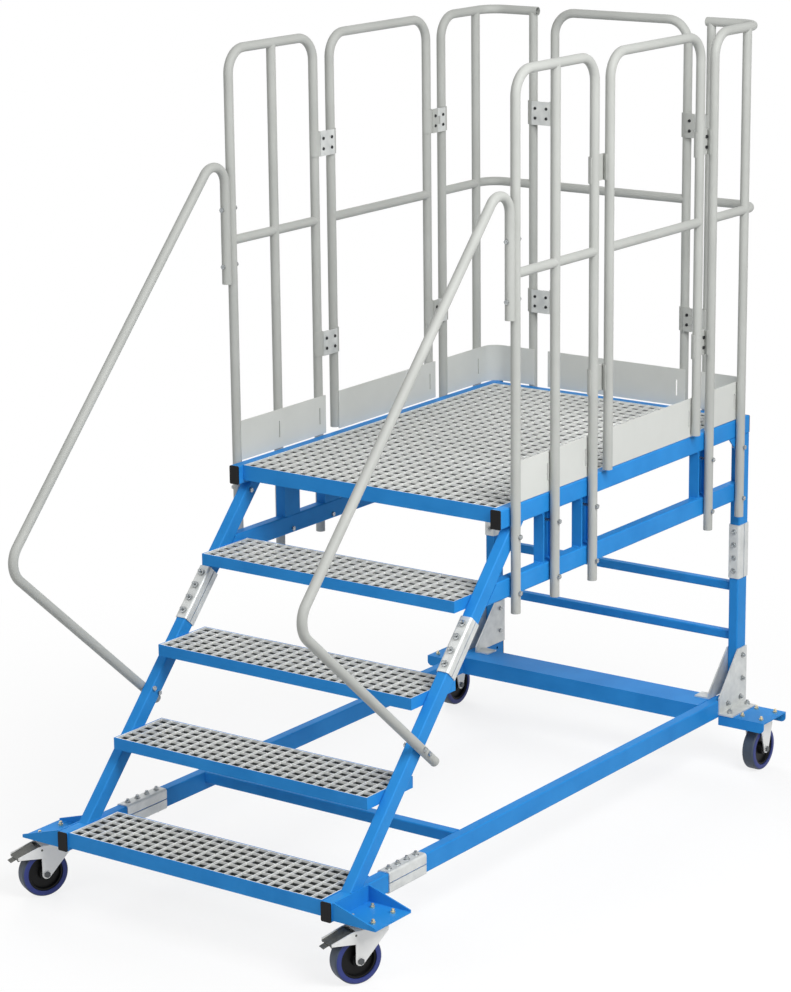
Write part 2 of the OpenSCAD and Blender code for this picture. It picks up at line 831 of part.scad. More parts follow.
module end_cap() {
    linear_extrude(cap_t) round_rect(tube_w, tube_h, tube_r);
    translate([0, 0, cap_t - eps]) linear_extrude(4 * cap_t)
        round_rect(tube_w - 2 * tube_wall - seat_fit, tube_h - 2 * tube_wall - seat_fit, tube_r - tube_wall);
}

module end_caps() {
    color(black) both() {
        translate([xm, 0, deck_h - tube_h / 2]) rotate([-90, 0, 0]) end_cap();
        translate([xm, plat_l, deck_h - tube_h / 2]) rotate([90, 0, 0]) end_cap();
        translate([xm, -base_front, base_mid]) rotate([-90, 0, 0]) end_cap();
        translate([xm, plat_l, base_mid]) rotate([90, 0, 0]) end_cap();
    }
}

module deck_grating() {
    y0 = front_set + ledge_t + seat_fit;
    w = clear_w - 2 * seat_fit;
    color(zinc) translate([-w / 2, y0, deck_h - grating_h])
        grating(w, rear_bar_front - seat_fit - y0, grating_cols, deck_rows, grating_h);
}

// Guard rails

module bolt_clear() {
    cylinder(d = bolt_d + 2 * bolt_fit, h = 4 * tube_h, center = true);
}

// Bolts through the fixed side posts, heads outside; the last upper one holds a gusset plate only
module side_post_bolts() {
    for (y = concat(side_posts, corner_y), z = post_bolts_z) {
        $grip = rail_d + seat_fit + (y == last_post_y && z == post_bolts_z[0] ? plate_t : tube_w);
        translate([guard_x + rail_r, y, z]) rotate([0, 90, 0]) children();
    }
}

module end_post_bolts() {
    for (x = [-end_post_x, end_post_x])
        translate([x, guard_back + rail_r, end_bolt_z]) rotate([-90, 0, 0]) children();
}

module leg_bolts() {
    for (z = [leg_bolt_low, leg_bolt_up])
        translate([guard_x, leg_y - rail_r, deck_h + z]) rotate([90, 0, 0]) children();
}

module handrail_foot_bolts() {
    for (s = [-foot_bolt_pitch / 2, foot_bolt_pitch / 2])
        translate(concat([guard_x + rail_r], foot + s * foot_dir)) rotate([0, 90, 0]) children();
}

module front_panel_rods(r, over) {
    bottom = deck_h - post_drop;
    a = side_posts[0];
    b = side_posts[2];
    in_side_plane(guard_x) {
        bent_rod([[a, bottom], [a, guard_top], [b, guard_top], [b, bottom]], [bend_r, bend_r], r, over, over);
        bent_rod([[side_posts[1], bottom], [side_posts[1], guard_top]], [], r - tee_step, over);
        bent_rod([[a, knee_z], [b, knee_z]], [], r - 2 * tee_step);
    }
}

module guard_front() {
    color(grey) difference() {
        front_panel_rods(rail_r, 0);
        front_panel_rods(rail_r - rail_wall, eps);
        side_post_bolts() bolt_clear();
        leg_bolts() bolt_clear();
    }
}

// Two bends in different planes make the top rail, which ends open just past the end post
module corner_panel_rods(r, over) {
    bottom = deck_h - post_drop;
    join_y = corner_y[0] + bend_r + rail_d;
    end_x = end_post_x - rail_r - rail_past;
    in_side_plane(guard_x) {
        bent_rod([[corner_y[0], bottom], [corner_y[0], guard_top], [join_y, guard_top]], [bend_r], r, over);
        bent_rod([[corner_y[1], bottom], [corner_y[1], guard_top]], [], r - tee_step, over);
    }
    translate([0, 0, guard_top])
        bent_rod([[guard_x, join_y], [guard_x, guard_back], [end_x, guard_back]], [corner_r], r, 0, over);
    translate([0, 0, knee_z])
        bent_rod(
            [[guard_x, corner_y[0]], [guard_x, guard_back], [end_post_x, guard_back]],
            [corner_r], r - 2 * tee_step);
    translate([end_post_x, guard_back, deck_h - end_post_drop - over])
        cylinder(r = r - tee_step, h = guard_top - deck_h + end_post_drop + over);
}

module guard_corner() {
    color(grey) difference() {
        corner_panel_rods(rail_r, 0);
        corner_panel_rods(rail_r - rail_wall, eps);
        side_post_bolts() bolt_clear();
        end_post_bolts() bolt_clear();
    }
}

module guard_front_left() { mirror([1, 0, 0]) guard_front(); }
module guard_front_right() { guard_front(); }
module guard_corner_left() { mirror([1, 0, 0]) guard_corner(); }
module guard_corner_right() { guard_corner(); }

// Flat board against the inner side of the posts, with a slit in front of each post in posts
module toe_board(y0, y1, posts) {
    x1 = guard_x - rail_r - seat_fit;
    difference() {
        translate([x1 - toe_t, y0, deck_h + toe_lift]) cube([toe_t, y1 - y0, toe_h - toe_lift]);
        for (y = posts)
            translate([x1 - toe_t - eps, y - rail_r - slit_w, deck_h + (toe_h - slit_h) / 2])
                cube([toe_t + 2 * eps, slit_w, slit_h]);
    }
}

module corner_toe_section() {
    x1 = guard_x - rail_r - seat_fit;
    y1 = guard_back - rail_r - seat_fit;
    difference() {
        union() {
            translate([end_post_x - rail_r, y1 - 2 * toe_bend])
                square([x1 - end_post_x + rail_r - toe_bend, 2 * toe_bend]);
            translate([x1 - 2 * toe_bend, corner_y[0]])
                square([2 * toe_bend, y1 - toe_bend - corner_y[0]]);
            translate([x1 - toe_bend, y1 - toe_bend]) circle(toe_bend);
        }
        translate([x1 - toe_bend, y1 - toe_bend]) circle(toe_bend - toe_t);
        translate([x1 - toe_t - big, y1 - toe_bend - big]) square(big);
        translate([x1 - toe_bend - big, y1 - toe_t - big]) square(big);
    }
}

module toe_boards() {
    color(grey) both() {
        toe_board(side_posts[0], side_posts[2] + rail_r, [side_posts[1], side_posts[2]]);
        difference() {
            along_z(0, 0, deck_h + toe_lift, deck_h + toe_h) corner_toe_section();
            translate([xo - toe_t - eps, last_post_y - rail_r - slit_w, deck_h + (toe_h - slit_h) / 2])
                cube([toe_t + 2 * eps, slit_w, slit_h]);
        }
    }
}

module handrail() {
    color(grey) difference() {
        in_side_plane(guard_x) bent_rod(handrail_path, [handrail_low_r, handrail_top_r], rail_r);
        in_side_plane(guard_x)
            bent_rod(handrail_path, [handrail_low_r, handrail_top_r], rail_r - rail_wall, eps, eps);
        leg_bolts() bolt_clear();
        handrail_foot_bolts() bolt_clear();
    }
}

module handrail_left() { mirror([1, 0, 0]) handrail(); }
module handrail_right() { handrail(); }

module guard_bolts() {
    color(zinc) {
        both() {
            side_post_bolts() hex_bolt($grip);
            leg_bolts() hex_bolt(2 * rail_d + seat_fit);
            handrail_foot_bolts() hex_bolt(rail_d + seat_fit + tube_w);
        }
        end_post_bolts() hex_bolt(rail_d + seat_fit + tube_w / 2, nut = false);
    }
}

// Gates and hinges. A gap frame has its origin in the middle between a gate post and the
// neighbouring fixed post, local X towards the fixed post and local Y outwards.

// Bracket round the inner half of a post, with a tab towards the gap
module bracket_section(clear) {
    post = panel_gap / 2;
    inner = leaf_out + clear;
    difference() {
        union() {
            intersection() {
                translate([post, 0]) circle(-inner);
                translate([post + inner, inner]) square([-2 * inner, -inner]);
            }
            translate([tab_start, inner]) square([post - tab_start, bracket_out - inner]);
        }
        translate([post, 0]) circle(-bracket_out);
    }
}

module bracket(clear) {
    linear_extrude(hinge_h, center = true) bracket_section(clear);
}

module screw_holes() {
    for (z = [-1, 1])
        translate([tab_start + (leaf_w - tab_start) / 2, leaf_out, z * screw_pitch / 2])
            rotate([90, 0, 0]) cylinder(d = screw_d, h = 4 * leaf_t, center = true);
}

// Leaf with knuckles at the given heights and gaps for the other leaf's, bored for the pin or carrying it
module leaf(knuckles, gaps, with_pin) {
    side = 2 * (knuckle_r + swing_fit);
    difference() {
        union() {
            translate([swing_fit / 2, leaf_out - leaf_t, -hinge_h / 2]) cube([leaf_w, leaf_t, hinge_h]);
            for (k = knuckles)
                translate([0, axis_out, k[0]]) cylinder(r = knuckle_r, h = k[1] - k[0]);
        }
        if (!with_pin)
            translate([0, axis_out, -hinge_h]) cylinder(r = pin_r + run_fit, h = 2 * hinge_h);
        for (g = gaps)
            translate([-side / 2, axis_out - side / 2, g[0] - swing_fit / 2 - hair])
                cube([side, side, g[1] - g[0] + swing_fit + 2 * hair]);
        screw_holes();
    }
    if (with_pin)
        translate([0, axis_out, -hinge_h / 2]) cylinder(r = pin_r, h = hinge_h);
}

module fixed_leaf() {
    leaf(outer_knuckles, inner_knuckle, true);
}

module gate_leaf() {
    mirror([1, 0, 0]) leaf(inner_knuckle, outer_knuckles, false);
}

// Plate on the fixed bracket; it reaches behind the gate's tab and stops the gate
module catch_plate() {
    difference() {
        translate([-leaf_w, leaf_out - leaf_t, -hinge_h / 2]) cube([2 * leaf_w, leaf_t, hinge_h]);
        screw_holes();
        mirror([1, 0, 0]) screw_holes();
    }
}

// Gap frames of the right side and of the rear
module right_hinge_gap() {
    for (z = hinge_z)
        translate([guard_x, (gate_y[1] + corner_y[0]) / 2, z])
            rotate([0, 0, 90]) mirror([0, 1, 0]) children();
}

module right_catch_gap() {
    for (z = hinge_z)
        translate([guard_x, (side_posts[2] + gate_y[0]) / 2, z]) rotate([0, 0, -90]) children();
}

module rear_hinge_gap() {
    for (z = hinge_z)
        translate([(rear_gate_x + end_post_x) / 2, guard_back, z]) children();
}

module rear_catch_gap() {
    for (z = hinge_z)
        translate([-(rear_gate_x + end_post_x) / 2, guard_back, z]) mirror([1, 0, 0]) children();
}

module hinge_brackets() {
    color(zinc) {
        both() {
            right_hinge_gap() bracket(0);
            right_catch_gap() bracket(0);
        }
        rear_hinge_gap() bracket(0);
        rear_catch_gap() bracket(0);
    }
}

module hinge_leaves() {
    color(zinc) {
        both() right_hinge_gap() fixed_leaf();
        rear_hinge_gap() fixed_leaf();
    }
}

module catch_plates() {
    color(zinc) {
        both() right_catch_gap() catch_plate();
        rear_catch_gap() catch_plate();
    }
}

// Inverted U with a knee rail, drawn flat: local X along the gate, local Y up
module gate_rods(a, b, r, over) {
    bottom = deck_h + gate_lift;
    bent_rod([[a, bottom], [a, guard_top], [b, guard_top], [b, bottom]], [bend_r, bend_r], r, over, over);
    bent_rod([[a, knee_z], [b, knee_z]], [], r - tee_step);
}

module side_gate() {
    color(grey) {
        in_side_plane(guard_x) difference() {
            gate_rods(gate_y[0], gate_y[1], rail_r, 0);
            gate_rods(gate_y[0], gate_y[1], rail_r - rail_wall, eps);
        }
        toe_board(gate_y[0], gate_y[1] + rail_r, [gate_y[1]]);
    }
}

module gate_left() { mirror([1, 0, 0]) side_gate(); }
module gate_right() { side_gate(); }

module gate_rear() {
    y1 = guard_back - rail_r - seat_fit;
    color(grey) {
        translate([0, guard_back, 0]) rotate([90, 0, 0]) difference() {
            gate_rods(-rear_gate_x, rear_gate_x, rail_r, 0);
            gate_rods(-rear_gate_x, rear_gate_x, rail_r - rail_wall, eps);
        }
        difference() {
            translate([-rear_gate_x - rail_r, y1 - toe_t, deck_h + toe_lift])
                cube([rear_gate_w + rail_d, toe_t, toe_h - toe_lift]);
            translate([rear_gate_x - rail_r - slit_w, y1 - 2 * toe_t, deck_h + (toe_h - slit_h) / 2])
                cube([slit_w, 3 * toe_t, slit_h]);
        }
    }
}

module gate_bracket() {
    mirror([1, 0, 0]) bracket(0);
}

module catch_bracket() {
    mirror([1, 0, 0]) bracket(swing_fit);
}

module side_gate_brackets() {
    color(zinc) {
        right_hinge_gap() gate_bracket();
        right_hinge_gap() gate_leaf();
        right_catch_gap() catch_bracket();
    }
}

module gate_left_brackets() { mirror([1, 0, 0]) side_gate_brackets(); }
module gate_right_brackets() { side_gate_brackets(); }

module gate_rear_brackets() {
    color(zinc) {
        rear_hinge_gap() gate_bracket();
        rear_hinge_gap() gate_leaf();
        rear_catch_gap() catch_bracket();
    }
}

// Casters. A caster frame has its origin on the floor under the middle of the top plate.

module at_head_bolts(x, y) {
    for (i = [-1, 1], j = [-1, 1])
        translate([x + i * head_pitch_w / 2, y + j * head_pitch_l / 2, pan_z + plate_t]) children();
}

module head_plate() {
    difference() {
        translate([-head_w / 2, -head_l / 2, head_z]) cube([head_w, head_l, fork_t]);
        at_head_holes() bolt_clear();
    }
}

module at_head_holes() {
    for (i = [-1, 1], j = [-1, 1])
        translate([i * head_pitch_w / 2, j * head_pitch_l / 2, head_z]) children();
}

module at_front_right() {
    translate([front_caster_x, front_caster_y, 0]) children();
}

// Swivel frame of the right (1) or left (-1) front caster
module at_swivel(side) {
    translate([side * front_caster_x, front_caster_y, 0]) rotate([0, 0, -swivel_turn]) children();
}

module at_rear_right() {
    translate([rear_caster_x, rear_caster_y, 0]) children();
}

// Top plate with the upper ball race and the king pin, which ends in a collar under the fork
module front_caster_heads() {
    collar_z = crown_z - fork_t - swing_fit;
    color(zinc) both() at_front_right() {
        head_plate();
        translate([0, 0, crown_z + swing_fit]) cylinder(r = race_r, h = head_z - crown_z - swing_fit);
        translate([0, 0, collar_z - fork_t]) cylinder(r = king_r, h = head_z - collar_z);
        translate([0, 0, collar_z - fork_t]) cylinder(r = king_r + fork_t, h = fork_t);
    }
}

module caster_bolts() {
    grip = plate_t + fork_t;
    color("#D9B36A") both() {
        at_head_bolts(front_caster_x, front_caster_y) hex_bolt(grip);
        at_head_bolts(rear_caster_x, rear_caster_y) hex_bolt(grip);
    }
}

// Angle on the round leg end where a straight edge from point p runs into it
function end_tangent(p, axle_y) =
    atan2(p[1] - wheel_r, p[0] - axle_y) - acos(leg_end_r / norm([p[0] - axle_y, p[1] - wheel_r]));
function end_point(p, axle_y) =
    [axle_y, wheel_r] + leg_end_r * [cos(end_tangent(p, axle_y)), sin(end_tangent(p, axle_y))];

// Leg of a fixed fork: it narrows from the top plate to the round end at the axle
module fixed_leg_section(half, top) {
    shoulder = [half, top - 2 * leg_end_r];
    low = end_point(shoulder, 0);
    translate([0, wheel_r]) circle(leg_end_r);
    polygon([[-low[0], low[1]], low, shoulder, [half, top], [-half, top], [-half, shoulder[1]]]);
}

// Leg of a swivel fork: upright in front, slanted behind, with an ear that guards the pedal
module swivel_leg_section() {
    front = -trail - leg_end_r;
    tip = -trail - ear_reach;
    shoulder = [fork_back, crown_z - leg_end_r];
    translate([-trail, wheel_r]) circle(leg_end_r);
    polygon([
        [front, wheel_r], end_point(shoulder, -trail), shoulder, [fork_back, crown_z], [front, crown_z],
        [front - leg_end_r, crown_z - fork_t], [tip, ear_tip_z + 2 * fork_t], [tip, ear_tip_z],
        [front, ear_low_z]
    ]);
}

// Axle bolt with a nut at each end
module axle() {
    reach = leg_x + fork_t;
    rotate([0, 90, 0]) cylinder(r = axle_r, h = 2 * (reach + seat_fit) + bolt_head, center = true);
    for (side = [0, 180])
        rotate([0, side, 0]) translate([reach + seat_fit, 0, 0]) rotate([0, 90, 0])
            cylinder(d = axle_nut, h = bolt_head, $fn = 6);
}

module axle_bore(y) {
    translate([-2 * leg_x, y, wheel_r]) rotate([0, 90, 0]) cylinder(r = axle_r + run_fit, h = 4 * leg_x);
}

module swivel_fork() {
    front = -trail - leg_end_r + fork_t;
    color(zinc) {
        difference() {
            union() {
                for (x = [leg_x, -leg_x - fork_t])
                    translate([x, 0, 0]) rotate([90, 0, 90]) linear_extrude(fork_t) swivel_leg_section();
                translate([-leg_x - fork_t / 2, front, crown_z - fork_t])
                    cube([2 * leg_x + fork_t, fork_back - front, fork_t]);
            }
            translate([0, 0, crown_z - 2 * fork_t]) cylinder(r = king_r + run_fit, h = 4 * fork_t);
            axle_bore(-trail);
            translate([-2 * leg_x, pedal_y, pedal_z]) rotate([0, 90, 0])
                cylinder(r = pedal_pin_r + run_fit, h = 4 * leg_x);
        }
        translate([0, -trail, wheel_r]) axle();
    }
}

module fork_left() { at_swivel(-1) swivel_fork(); }
module fork_right() { at_swivel(1) swivel_fork(); }

// Bent sheet lever between the fork's ears: a foot plate on two cheeks, a cross pin and a tab
module brake_pedal() {
    width = 2 * pedal_cheek_x;
    far = pedal_set + pedal_l;
    color(zinc) translate([0, pedal_y, pedal_z]) {
        rotate([0, 90, 0]) cylinder(r = pedal_pin_r, h = 2 * (leg_x + fork_t), center = true);
        rotate([pedal_tilt, 0, 0]) {
            translate([-width / 2, -far, pedal_rise - pedal_sheet]) cube([width, pedal_l, pedal_sheet]);
            translate([-width / 4, -far - pedal_tab, pedal_rise - 2 * pedal_sheet])
                cube([width / 2, pedal_tab + pedal_set, pedal_sheet]);
            for (x = [width / 2, -width / 2 - pedal_sheet])
                translate([x, 0, 0]) rotate([90, 0, 90]) linear_extrude(pedal_sheet)
                    polygon([
                        [pedal_foot, -pedal_foot], [pedal_foot, pedal_pin_r], [-pedal_set, pedal_rise],
                        [-far, pedal_rise], [-far, pedal_rise / 2], [-far / 3, -pedal_foot]
                    ]);
        }
    }
}

module pedal_left() { at_swivel(-1) brake_pedal(); }
module pedal_right() { at_swivel(1) brake_pedal(); }

module rear_caster_forks() {
    color(zinc) both() at_rear_right() {
        difference() {
            union() {
                head_plate();
                for (x = [leg_x, -leg_x - fork_t])
                    translate([x, 0, 0]) rotate([90, 0, 90]) linear_extrude(fork_t)
                        fixed_leg_section(rear_leg_half, head_z + eps);
            }
            axle_bore(0);
        }
        translate([0, 0, wheel_r]) axle();
    }
}

// Wheel profiles turn about the axle: local X is the radius, local Y runs along the axle

module hub_solid() {
    bore = axle_r + run_fit;
    rim_in = tyre_in - hub_rim;
    rotate([0, 90, 0]) rotate_extrude()
        polygon([
            [bore, -hub_w / 2], [hub_boss_r, -hub_w / 2], [hub_boss_r + hub_draft, -hub_web / 2],
            [rim_in - hub_draft, -hub_web / 2], [rim_in, -rim_w / 2], [tyre_in, -rim_w / 2],
            [tyre_in, rim_w / 2], [rim_in, rim_w / 2], [rim_in - hub_draft, hub_web / 2],
            [hub_boss_r + hub_draft, hub_web / 2], [hub_boss_r, hub_w / 2], [bore, hub_w / 2]
        ]);
}

module tyre_solid() {
    inner = tyre_in + seat_fit;
    rotate([0, 90, 0]) rotate_extrude() union() {
        translate([inner, -wheel_w / 2]) square([wheel_r - tyre_round - inner, wheel_w]);
        translate([inner, tyre_round - wheel_w / 2]) square([wheel_r - inner, wheel_w - 2 * tyre_round]);
        for (y = [-1, 1])
            translate([wheel_r - tyre_round, y * (wheel_w / 2 - tyre_round)]) circle(tyre_round);
    }
}

module at_front_axle(side) { at_swivel(side) translate([0, -trail, wheel_r]) children(); }
module at_rear_axle() { at_rear_right() translate([0, 0, wheel_r]) children(); }

module hub_front_left() { color(black) at_front_axle(-1) hub_solid(); }
module hub_front_right() { color(black) at_front_axle(1) hub_solid(); }
module hub_rear_left() { color(black) mirror([1, 0, 0]) at_rear_axle() hub_solid(); }
module hub_rear_right() { color(black) at_rear_axle() hub_solid(); }
module tyre_front_left() { color("#2E3A8C") at_front_axle(-1) tyre_solid(); }
module tyre_front_right() { color("#2E3A8C") at_front_axle(1) tyre_solid(); }
module tyre_rear_left() { color("#2E3A8C") mirror([1, 0, 0]) at_rear_axle() tyre_solid(); }
module tyre_rear_right() { color("#2E3A8C") at_rear_axle() tyre_solid(); }

place() base_stubs();
place() base_rails();
place() base_cross_member();
place() rear_beam();
place() rear_caster_plates();
place() front_caster_brackets();
place() lower_stringers();
place() upper_stringers();
place() splice_shells();
place() frame_bolts();
place() tread_frame(1);  // tread_frame_1
place() tread_frame(2);  // tread_frame_2
place() tread_frame(3);  // tread_frame_3
place() tread_frame(4);  // tread_frame_4
place() tread_gratings();
place() platform_rails();
place() deck_end_bars();
place() deck_ledges();
place() lower_chords();
place() truss_uprights();
place() upper_rear_posts();
place() lower_rear_posts();
place() corner_gussets();
place() rear_cross_bars();
place() post_gussets();
place() end_caps();
place() deck_grating();
place() guard_front_left();
place() guard_front_right();
place() guard_corner_left();
place() guard_corner_right();
place() toe_boards();
place() handrail_left();
place() handrail_right();
place() guard_bolts();
place() hinge_brackets();
place() hinge_leaves();
place() catch_plates();
place() gate_left();
place() gate_right();
place() gate_rear();
place() gate_left_brackets();
place() gate_right_brackets();
place() gate_rear_brackets();
place() front_caster_heads();
place() caster_bolts();
place() rear_caster_forks();
place() fork_left();
place() fork_right();
place() pedal_left();
place() pedal_right();
place() hub_front_left();
place() hub_front_right();
place() hub_rear_left();
place() hub_rear_right();
place() tyre_front_left();
place() tyre_front_right();
place() tyre_rear_left();
place() tyre_rear_right();
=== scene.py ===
import math

import bpy
from mathutils import Matrix, Vector


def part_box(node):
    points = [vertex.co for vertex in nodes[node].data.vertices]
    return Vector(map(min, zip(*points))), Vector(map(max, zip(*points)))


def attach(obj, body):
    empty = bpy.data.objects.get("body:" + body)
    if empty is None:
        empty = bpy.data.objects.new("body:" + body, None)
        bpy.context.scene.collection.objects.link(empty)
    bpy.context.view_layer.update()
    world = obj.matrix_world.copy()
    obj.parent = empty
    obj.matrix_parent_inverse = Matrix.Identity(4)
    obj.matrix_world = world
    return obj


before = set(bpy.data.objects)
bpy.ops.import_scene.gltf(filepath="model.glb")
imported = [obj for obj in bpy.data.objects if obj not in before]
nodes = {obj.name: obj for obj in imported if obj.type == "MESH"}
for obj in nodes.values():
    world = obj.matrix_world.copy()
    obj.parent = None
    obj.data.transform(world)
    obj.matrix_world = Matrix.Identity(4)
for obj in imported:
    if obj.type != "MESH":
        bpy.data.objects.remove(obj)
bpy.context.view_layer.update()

# The camera stands where the photograph was taken: in front of the stair's right side, about
# eight metres off and nearly a metre above the top rail, with a long lens.
eye = Vector((4.5952, -6.4269, 2.9897))
turn = math.radians(35.82)
tilt = math.radians(-14.60)
lean = math.radians(-0.62)
ahead = Vector((-math.sin(turn) * math.cos(tilt), math.cos(turn) * math.cos(tilt), math.sin(tilt)))
across = Vector((math.cos(turn), math.sin(turn), 0.0))
upward = across.cross(ahead)
right_axis = across * math.cos(lean) + upward * math.sin(lean)
up_axis = upward * math.cos(lean) - across * math.sin(lean)
camera_data = bpy.data.cameras.new("camera")
camera_data.sensor_fit = "VERTICAL"
camera_data.sensor_height = 36.0
camera_data.lens = 113.1
camera_data.clip_end = 100.0
camera = bpy.data.objects.new("camera", camera_data)
camera.matrix_world = Matrix((
    (right_axis.x, up_axis.x, -ahead.x, eye.x),
    (right_axis.y, up_axis.y, -ahead.y, eye.y),
    (right_axis.z, up_axis.z, -ahead.z, eye.z),
    (0.0, 0.0, 0.0, 1.0),
))
bpy.context.scene.collection.objects.link(camera)
bpy.context.scene.camera = camera
bpy.context.scene.view_settings.view_transform = "Standard"


# Blue frame: rectangular steel tube, angle and folded sheet, welded and powder coated. The coat
# is half glossy and a little cloudy in colour, with a faint orange peel.
def srgb(code):
    parts = [int(code[i:i + 2], 16) / 255 for i in (1, 3, 5)]
    return [p / 12.92 if p <= 0.04045 else ((p + 0.055) / 1.055) ** 2.4 for p in parts] + [1.0]


def add_node(tree, kind, settings, links):
    node = tree.nodes.new("ShaderNode" + kind)
    for name, value in settings.items():
        if name == "stops":
            for element, (position, code) in zip(node.color_ramp.elements, value):
                element.position = position
                element.color = srgb(code)
        elif isinstance(name, str) and hasattr(node, name):
            setattr(node, name, value)
        else:
            node.inputs[name].default_value = value
    for name, source in links.items():
        tree.links.new(source, node.inputs[name])
    return node


def start_material(name):
    material = bpy.data.materials.new(name)
    material.use_nodes = True
    tree = material.node_tree
    place = add_node(tree, "TexCoord", {}, {}).outputs["Object"]
    return material, tree, tree.nodes["Principled BSDF"], place


def paint(names, material):
    for name in names:
        nodes[name].data.materials.clear()
        nodes[name].data.materials.append(material)


frame_cloud_w = 0.120
# Orange peel is about 1.5 mm across; drawn at 4 mm so that it shows
peel_w = 0.004
blue_coat, tree, shader, place = start_material("blue_powder_coat")
cloud = add_node(tree, "TexNoise", {"Scale": 1 / frame_cloud_w, "Detail": 3.0, "Roughness": 0.55},
                 {"Vector": place})
tone = add_node(tree, "ValToRGB", {"stops": ((0.30, "#2586D2"), (0.70, "#2F91DD"))},
                {"Fac": cloud.outputs["Fac"]})
tree.links.new(tone.outputs["Color"], shader.inputs["Base Color"])
peel = add_node(tree, "TexNoise", {"Scale": 1 / peel_w, "Detail": 2.0}, {"Vector": place})
rough = add_node(tree, "MapRange", {"To Min": 0.40, "To Max": 0.52}, {"Value": peel.outputs["Fac"]})
tree.links.new(rough.outputs["Result"], shader.inputs["Roughness"])
bump = add_node(tree, "Bump", {"Strength": 0.06, "Distance": 0.0004}, {"Height": peel.outputs["Fac"]})
tree.links.new(bump.outputs["Normal"], shader.inputs["Normal"])
shader.inputs["Specular IOR Level"].default_value = 0.15
paint(["base_stubs", "base_rails", "base_cross_member", "rear_beam", "rear_caster_plates",
       "front_caster_brackets", "lower_stringers", "upper_stringers", "tread_frame_1", "tread_frame_2",
       "tread_frame_3", "tread_frame_4", "platform_rails", "deck_end_bars", "deck_ledges",
       "lower_chords", "truss_uprights", "upper_rear_posts", "lower_rear_posts", "corner_gussets",
       "rear_cross_bars"], blue_coat)

# Splice shells, gusset plates and hinge plates: folded steel sheet, zinc plated. The plating is
# pale and satin, with soft clouds where it dried.
plate_cloud_w = 0.030
# Spangle of the sheet is about 1 mm; drawn at 3 mm so that it shows
plate_spangle_w = 0.003
zinc_plate, tree, shader, place = start_material("zinc_plated_steel_sheet")
cloud = add_node(tree, "TexNoise", {"Scale": 1 / plate_cloud_w, "Detail": 4.0}, {"Vector": place})
tone = add_node(tree, "ValToRGB", {"stops": ((0.30, "#C9CCCB"), (0.70, "#E0E2E0"))},
                {"Fac": cloud.outputs["Fac"]})
tree.links.new(tone.outputs["Color"], shader.inputs["Base Color"])
rough = add_node(tree, "MapRange", {"To Min": 0.36, "To Max": 0.52}, {"Value": cloud.outputs["Fac"]})
tree.links.new(rough.outputs["Result"], shader.inputs["Roughness"])
spangle = add_node(tree, "TexVoronoi", {"Scale": 1 / plate_spangle_w}, {"Vector": place})
bump = add_node(tree, "Bump", {"Strength": 0.08, "Distance": 0.0003},
                {"Height": spangle.outputs["Distance"]})
tree.links.new(bump.outputs["Normal"], shader.inputs["Normal"])
shader.inputs["Metallic"].default_value = 0.4
paint(["splice_shells", "post_gussets", "hinge_leaves", "catch_plates"], zinc_plate)

# Bolts of the frame and of the guard rails: hexagon bolts and nuts, cold forged and bright zinc
# plated, darker and glossier than the sheet.
bolt_cloud_w = 0.005
bolt_steel, tree, shader, place = start_material("bright_zinc_plated_bolt_steel")
cloud = add_node(tree, "TexNoise", {"Scale": 1 / bolt_cloud_w, "Detail": 3.0}, {"Vector": place})
tone = add_node(tree, "ValToRGB", {"stops": ((0.30, "#8A8E90"), (0.70, "#BCC0C1"))},
                {"Fac": cloud.outputs["Fac"]})
tree.links.new(tone.outputs["Color"], shader.inputs["Base Color"])
rough = add_node(tree, "MapRange", {"To Min": 0.20, "To Max": 0.34}, {"Value": cloud.outputs["Fac"]})
tree.links.new(rough.outputs["Result"], shader.inputs["Roughness"])
shader.inputs["Metallic"].default_value = 0.9
paint(["frame_bolts", "guard_bolts"], bolt_steel)


# Washers and thread ends of the frame's bolts, and the nuts of the outer gusset feet: turned and
# forged steel, zinc plated like the bolts. Each is modelled once with a bevelled upper rim and
# copied to its seats on the shells, gussets and feet.
def bevelled_blank(sides, radius, height, rim, segments):
    bpy.ops.object.select_all(action="DESELECT")
    bpy.ops.mesh.primitive_cylinder_add(vertices=sides, radius=radius, depth=height,
                                        location=(0.0, 0.0, height / 2))
    blank = bpy.context.object
    bpy.ops.object.transform_apply(location=True, rotation=True, scale=True)
    bpy.ops.object.mode_set(mode="EDIT")
    bpy.ops.mesh.select_mode(type="FACE")
    bpy.ops.mesh.select_all(action="DESELECT")
    bpy.ops.object.mode_set(mode="OBJECT")
    for face in blank.data.polygons:
        face.select = face.normal.z > 0.9
    bpy.ops.object.mode_set(mode="EDIT")
    bpy.ops.mesh.bevel(offset=rim, segments=segments)
    bpy.ops.object.mode_set(mode="OBJECT")
    return blank


def set_copy(name, model, spot, aim, material, body):
    copy = bpy.data.objects.new(name, model.data.copy())
    turned = Vector(aim).to_track_quat("Z", "X").to_matrix().to_4x4()
    copy.data.transform(Matrix.Translation(spot) @ turned)
    copy.data.materials.append(material)
    bpy.context.scene.collection.objects.link(copy)
    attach(copy, body)


smooth_angle = math.radians(35.0)
washer_r, washer_h, stud_r, stud_h = 0.0088, 0.0016, 0.0040, 0.0050
foot_nut_r, foot_nut_h, rim_bevel = 0.0075, 0.0065, 0.0006
# Height of the bolts' own hexagons, and how deep a thread end is sunk in one
hexagon_h, sunk = 0.0060, 0.0003
bolt_models = []
for sides, radius, height in ((28, washer_r, washer_h), (20, stud_r, stud_h), (6, foot_nut_r, foot_nut_h)):
    model = bevelled_blank(sides, radius, height, rim_bevel, 2)
    bpy.ops.object.shade_smooth_by_angle(angle=smooth_angle)
    bolt_models.append(model)
washer, stud, foot_nut = bolt_models
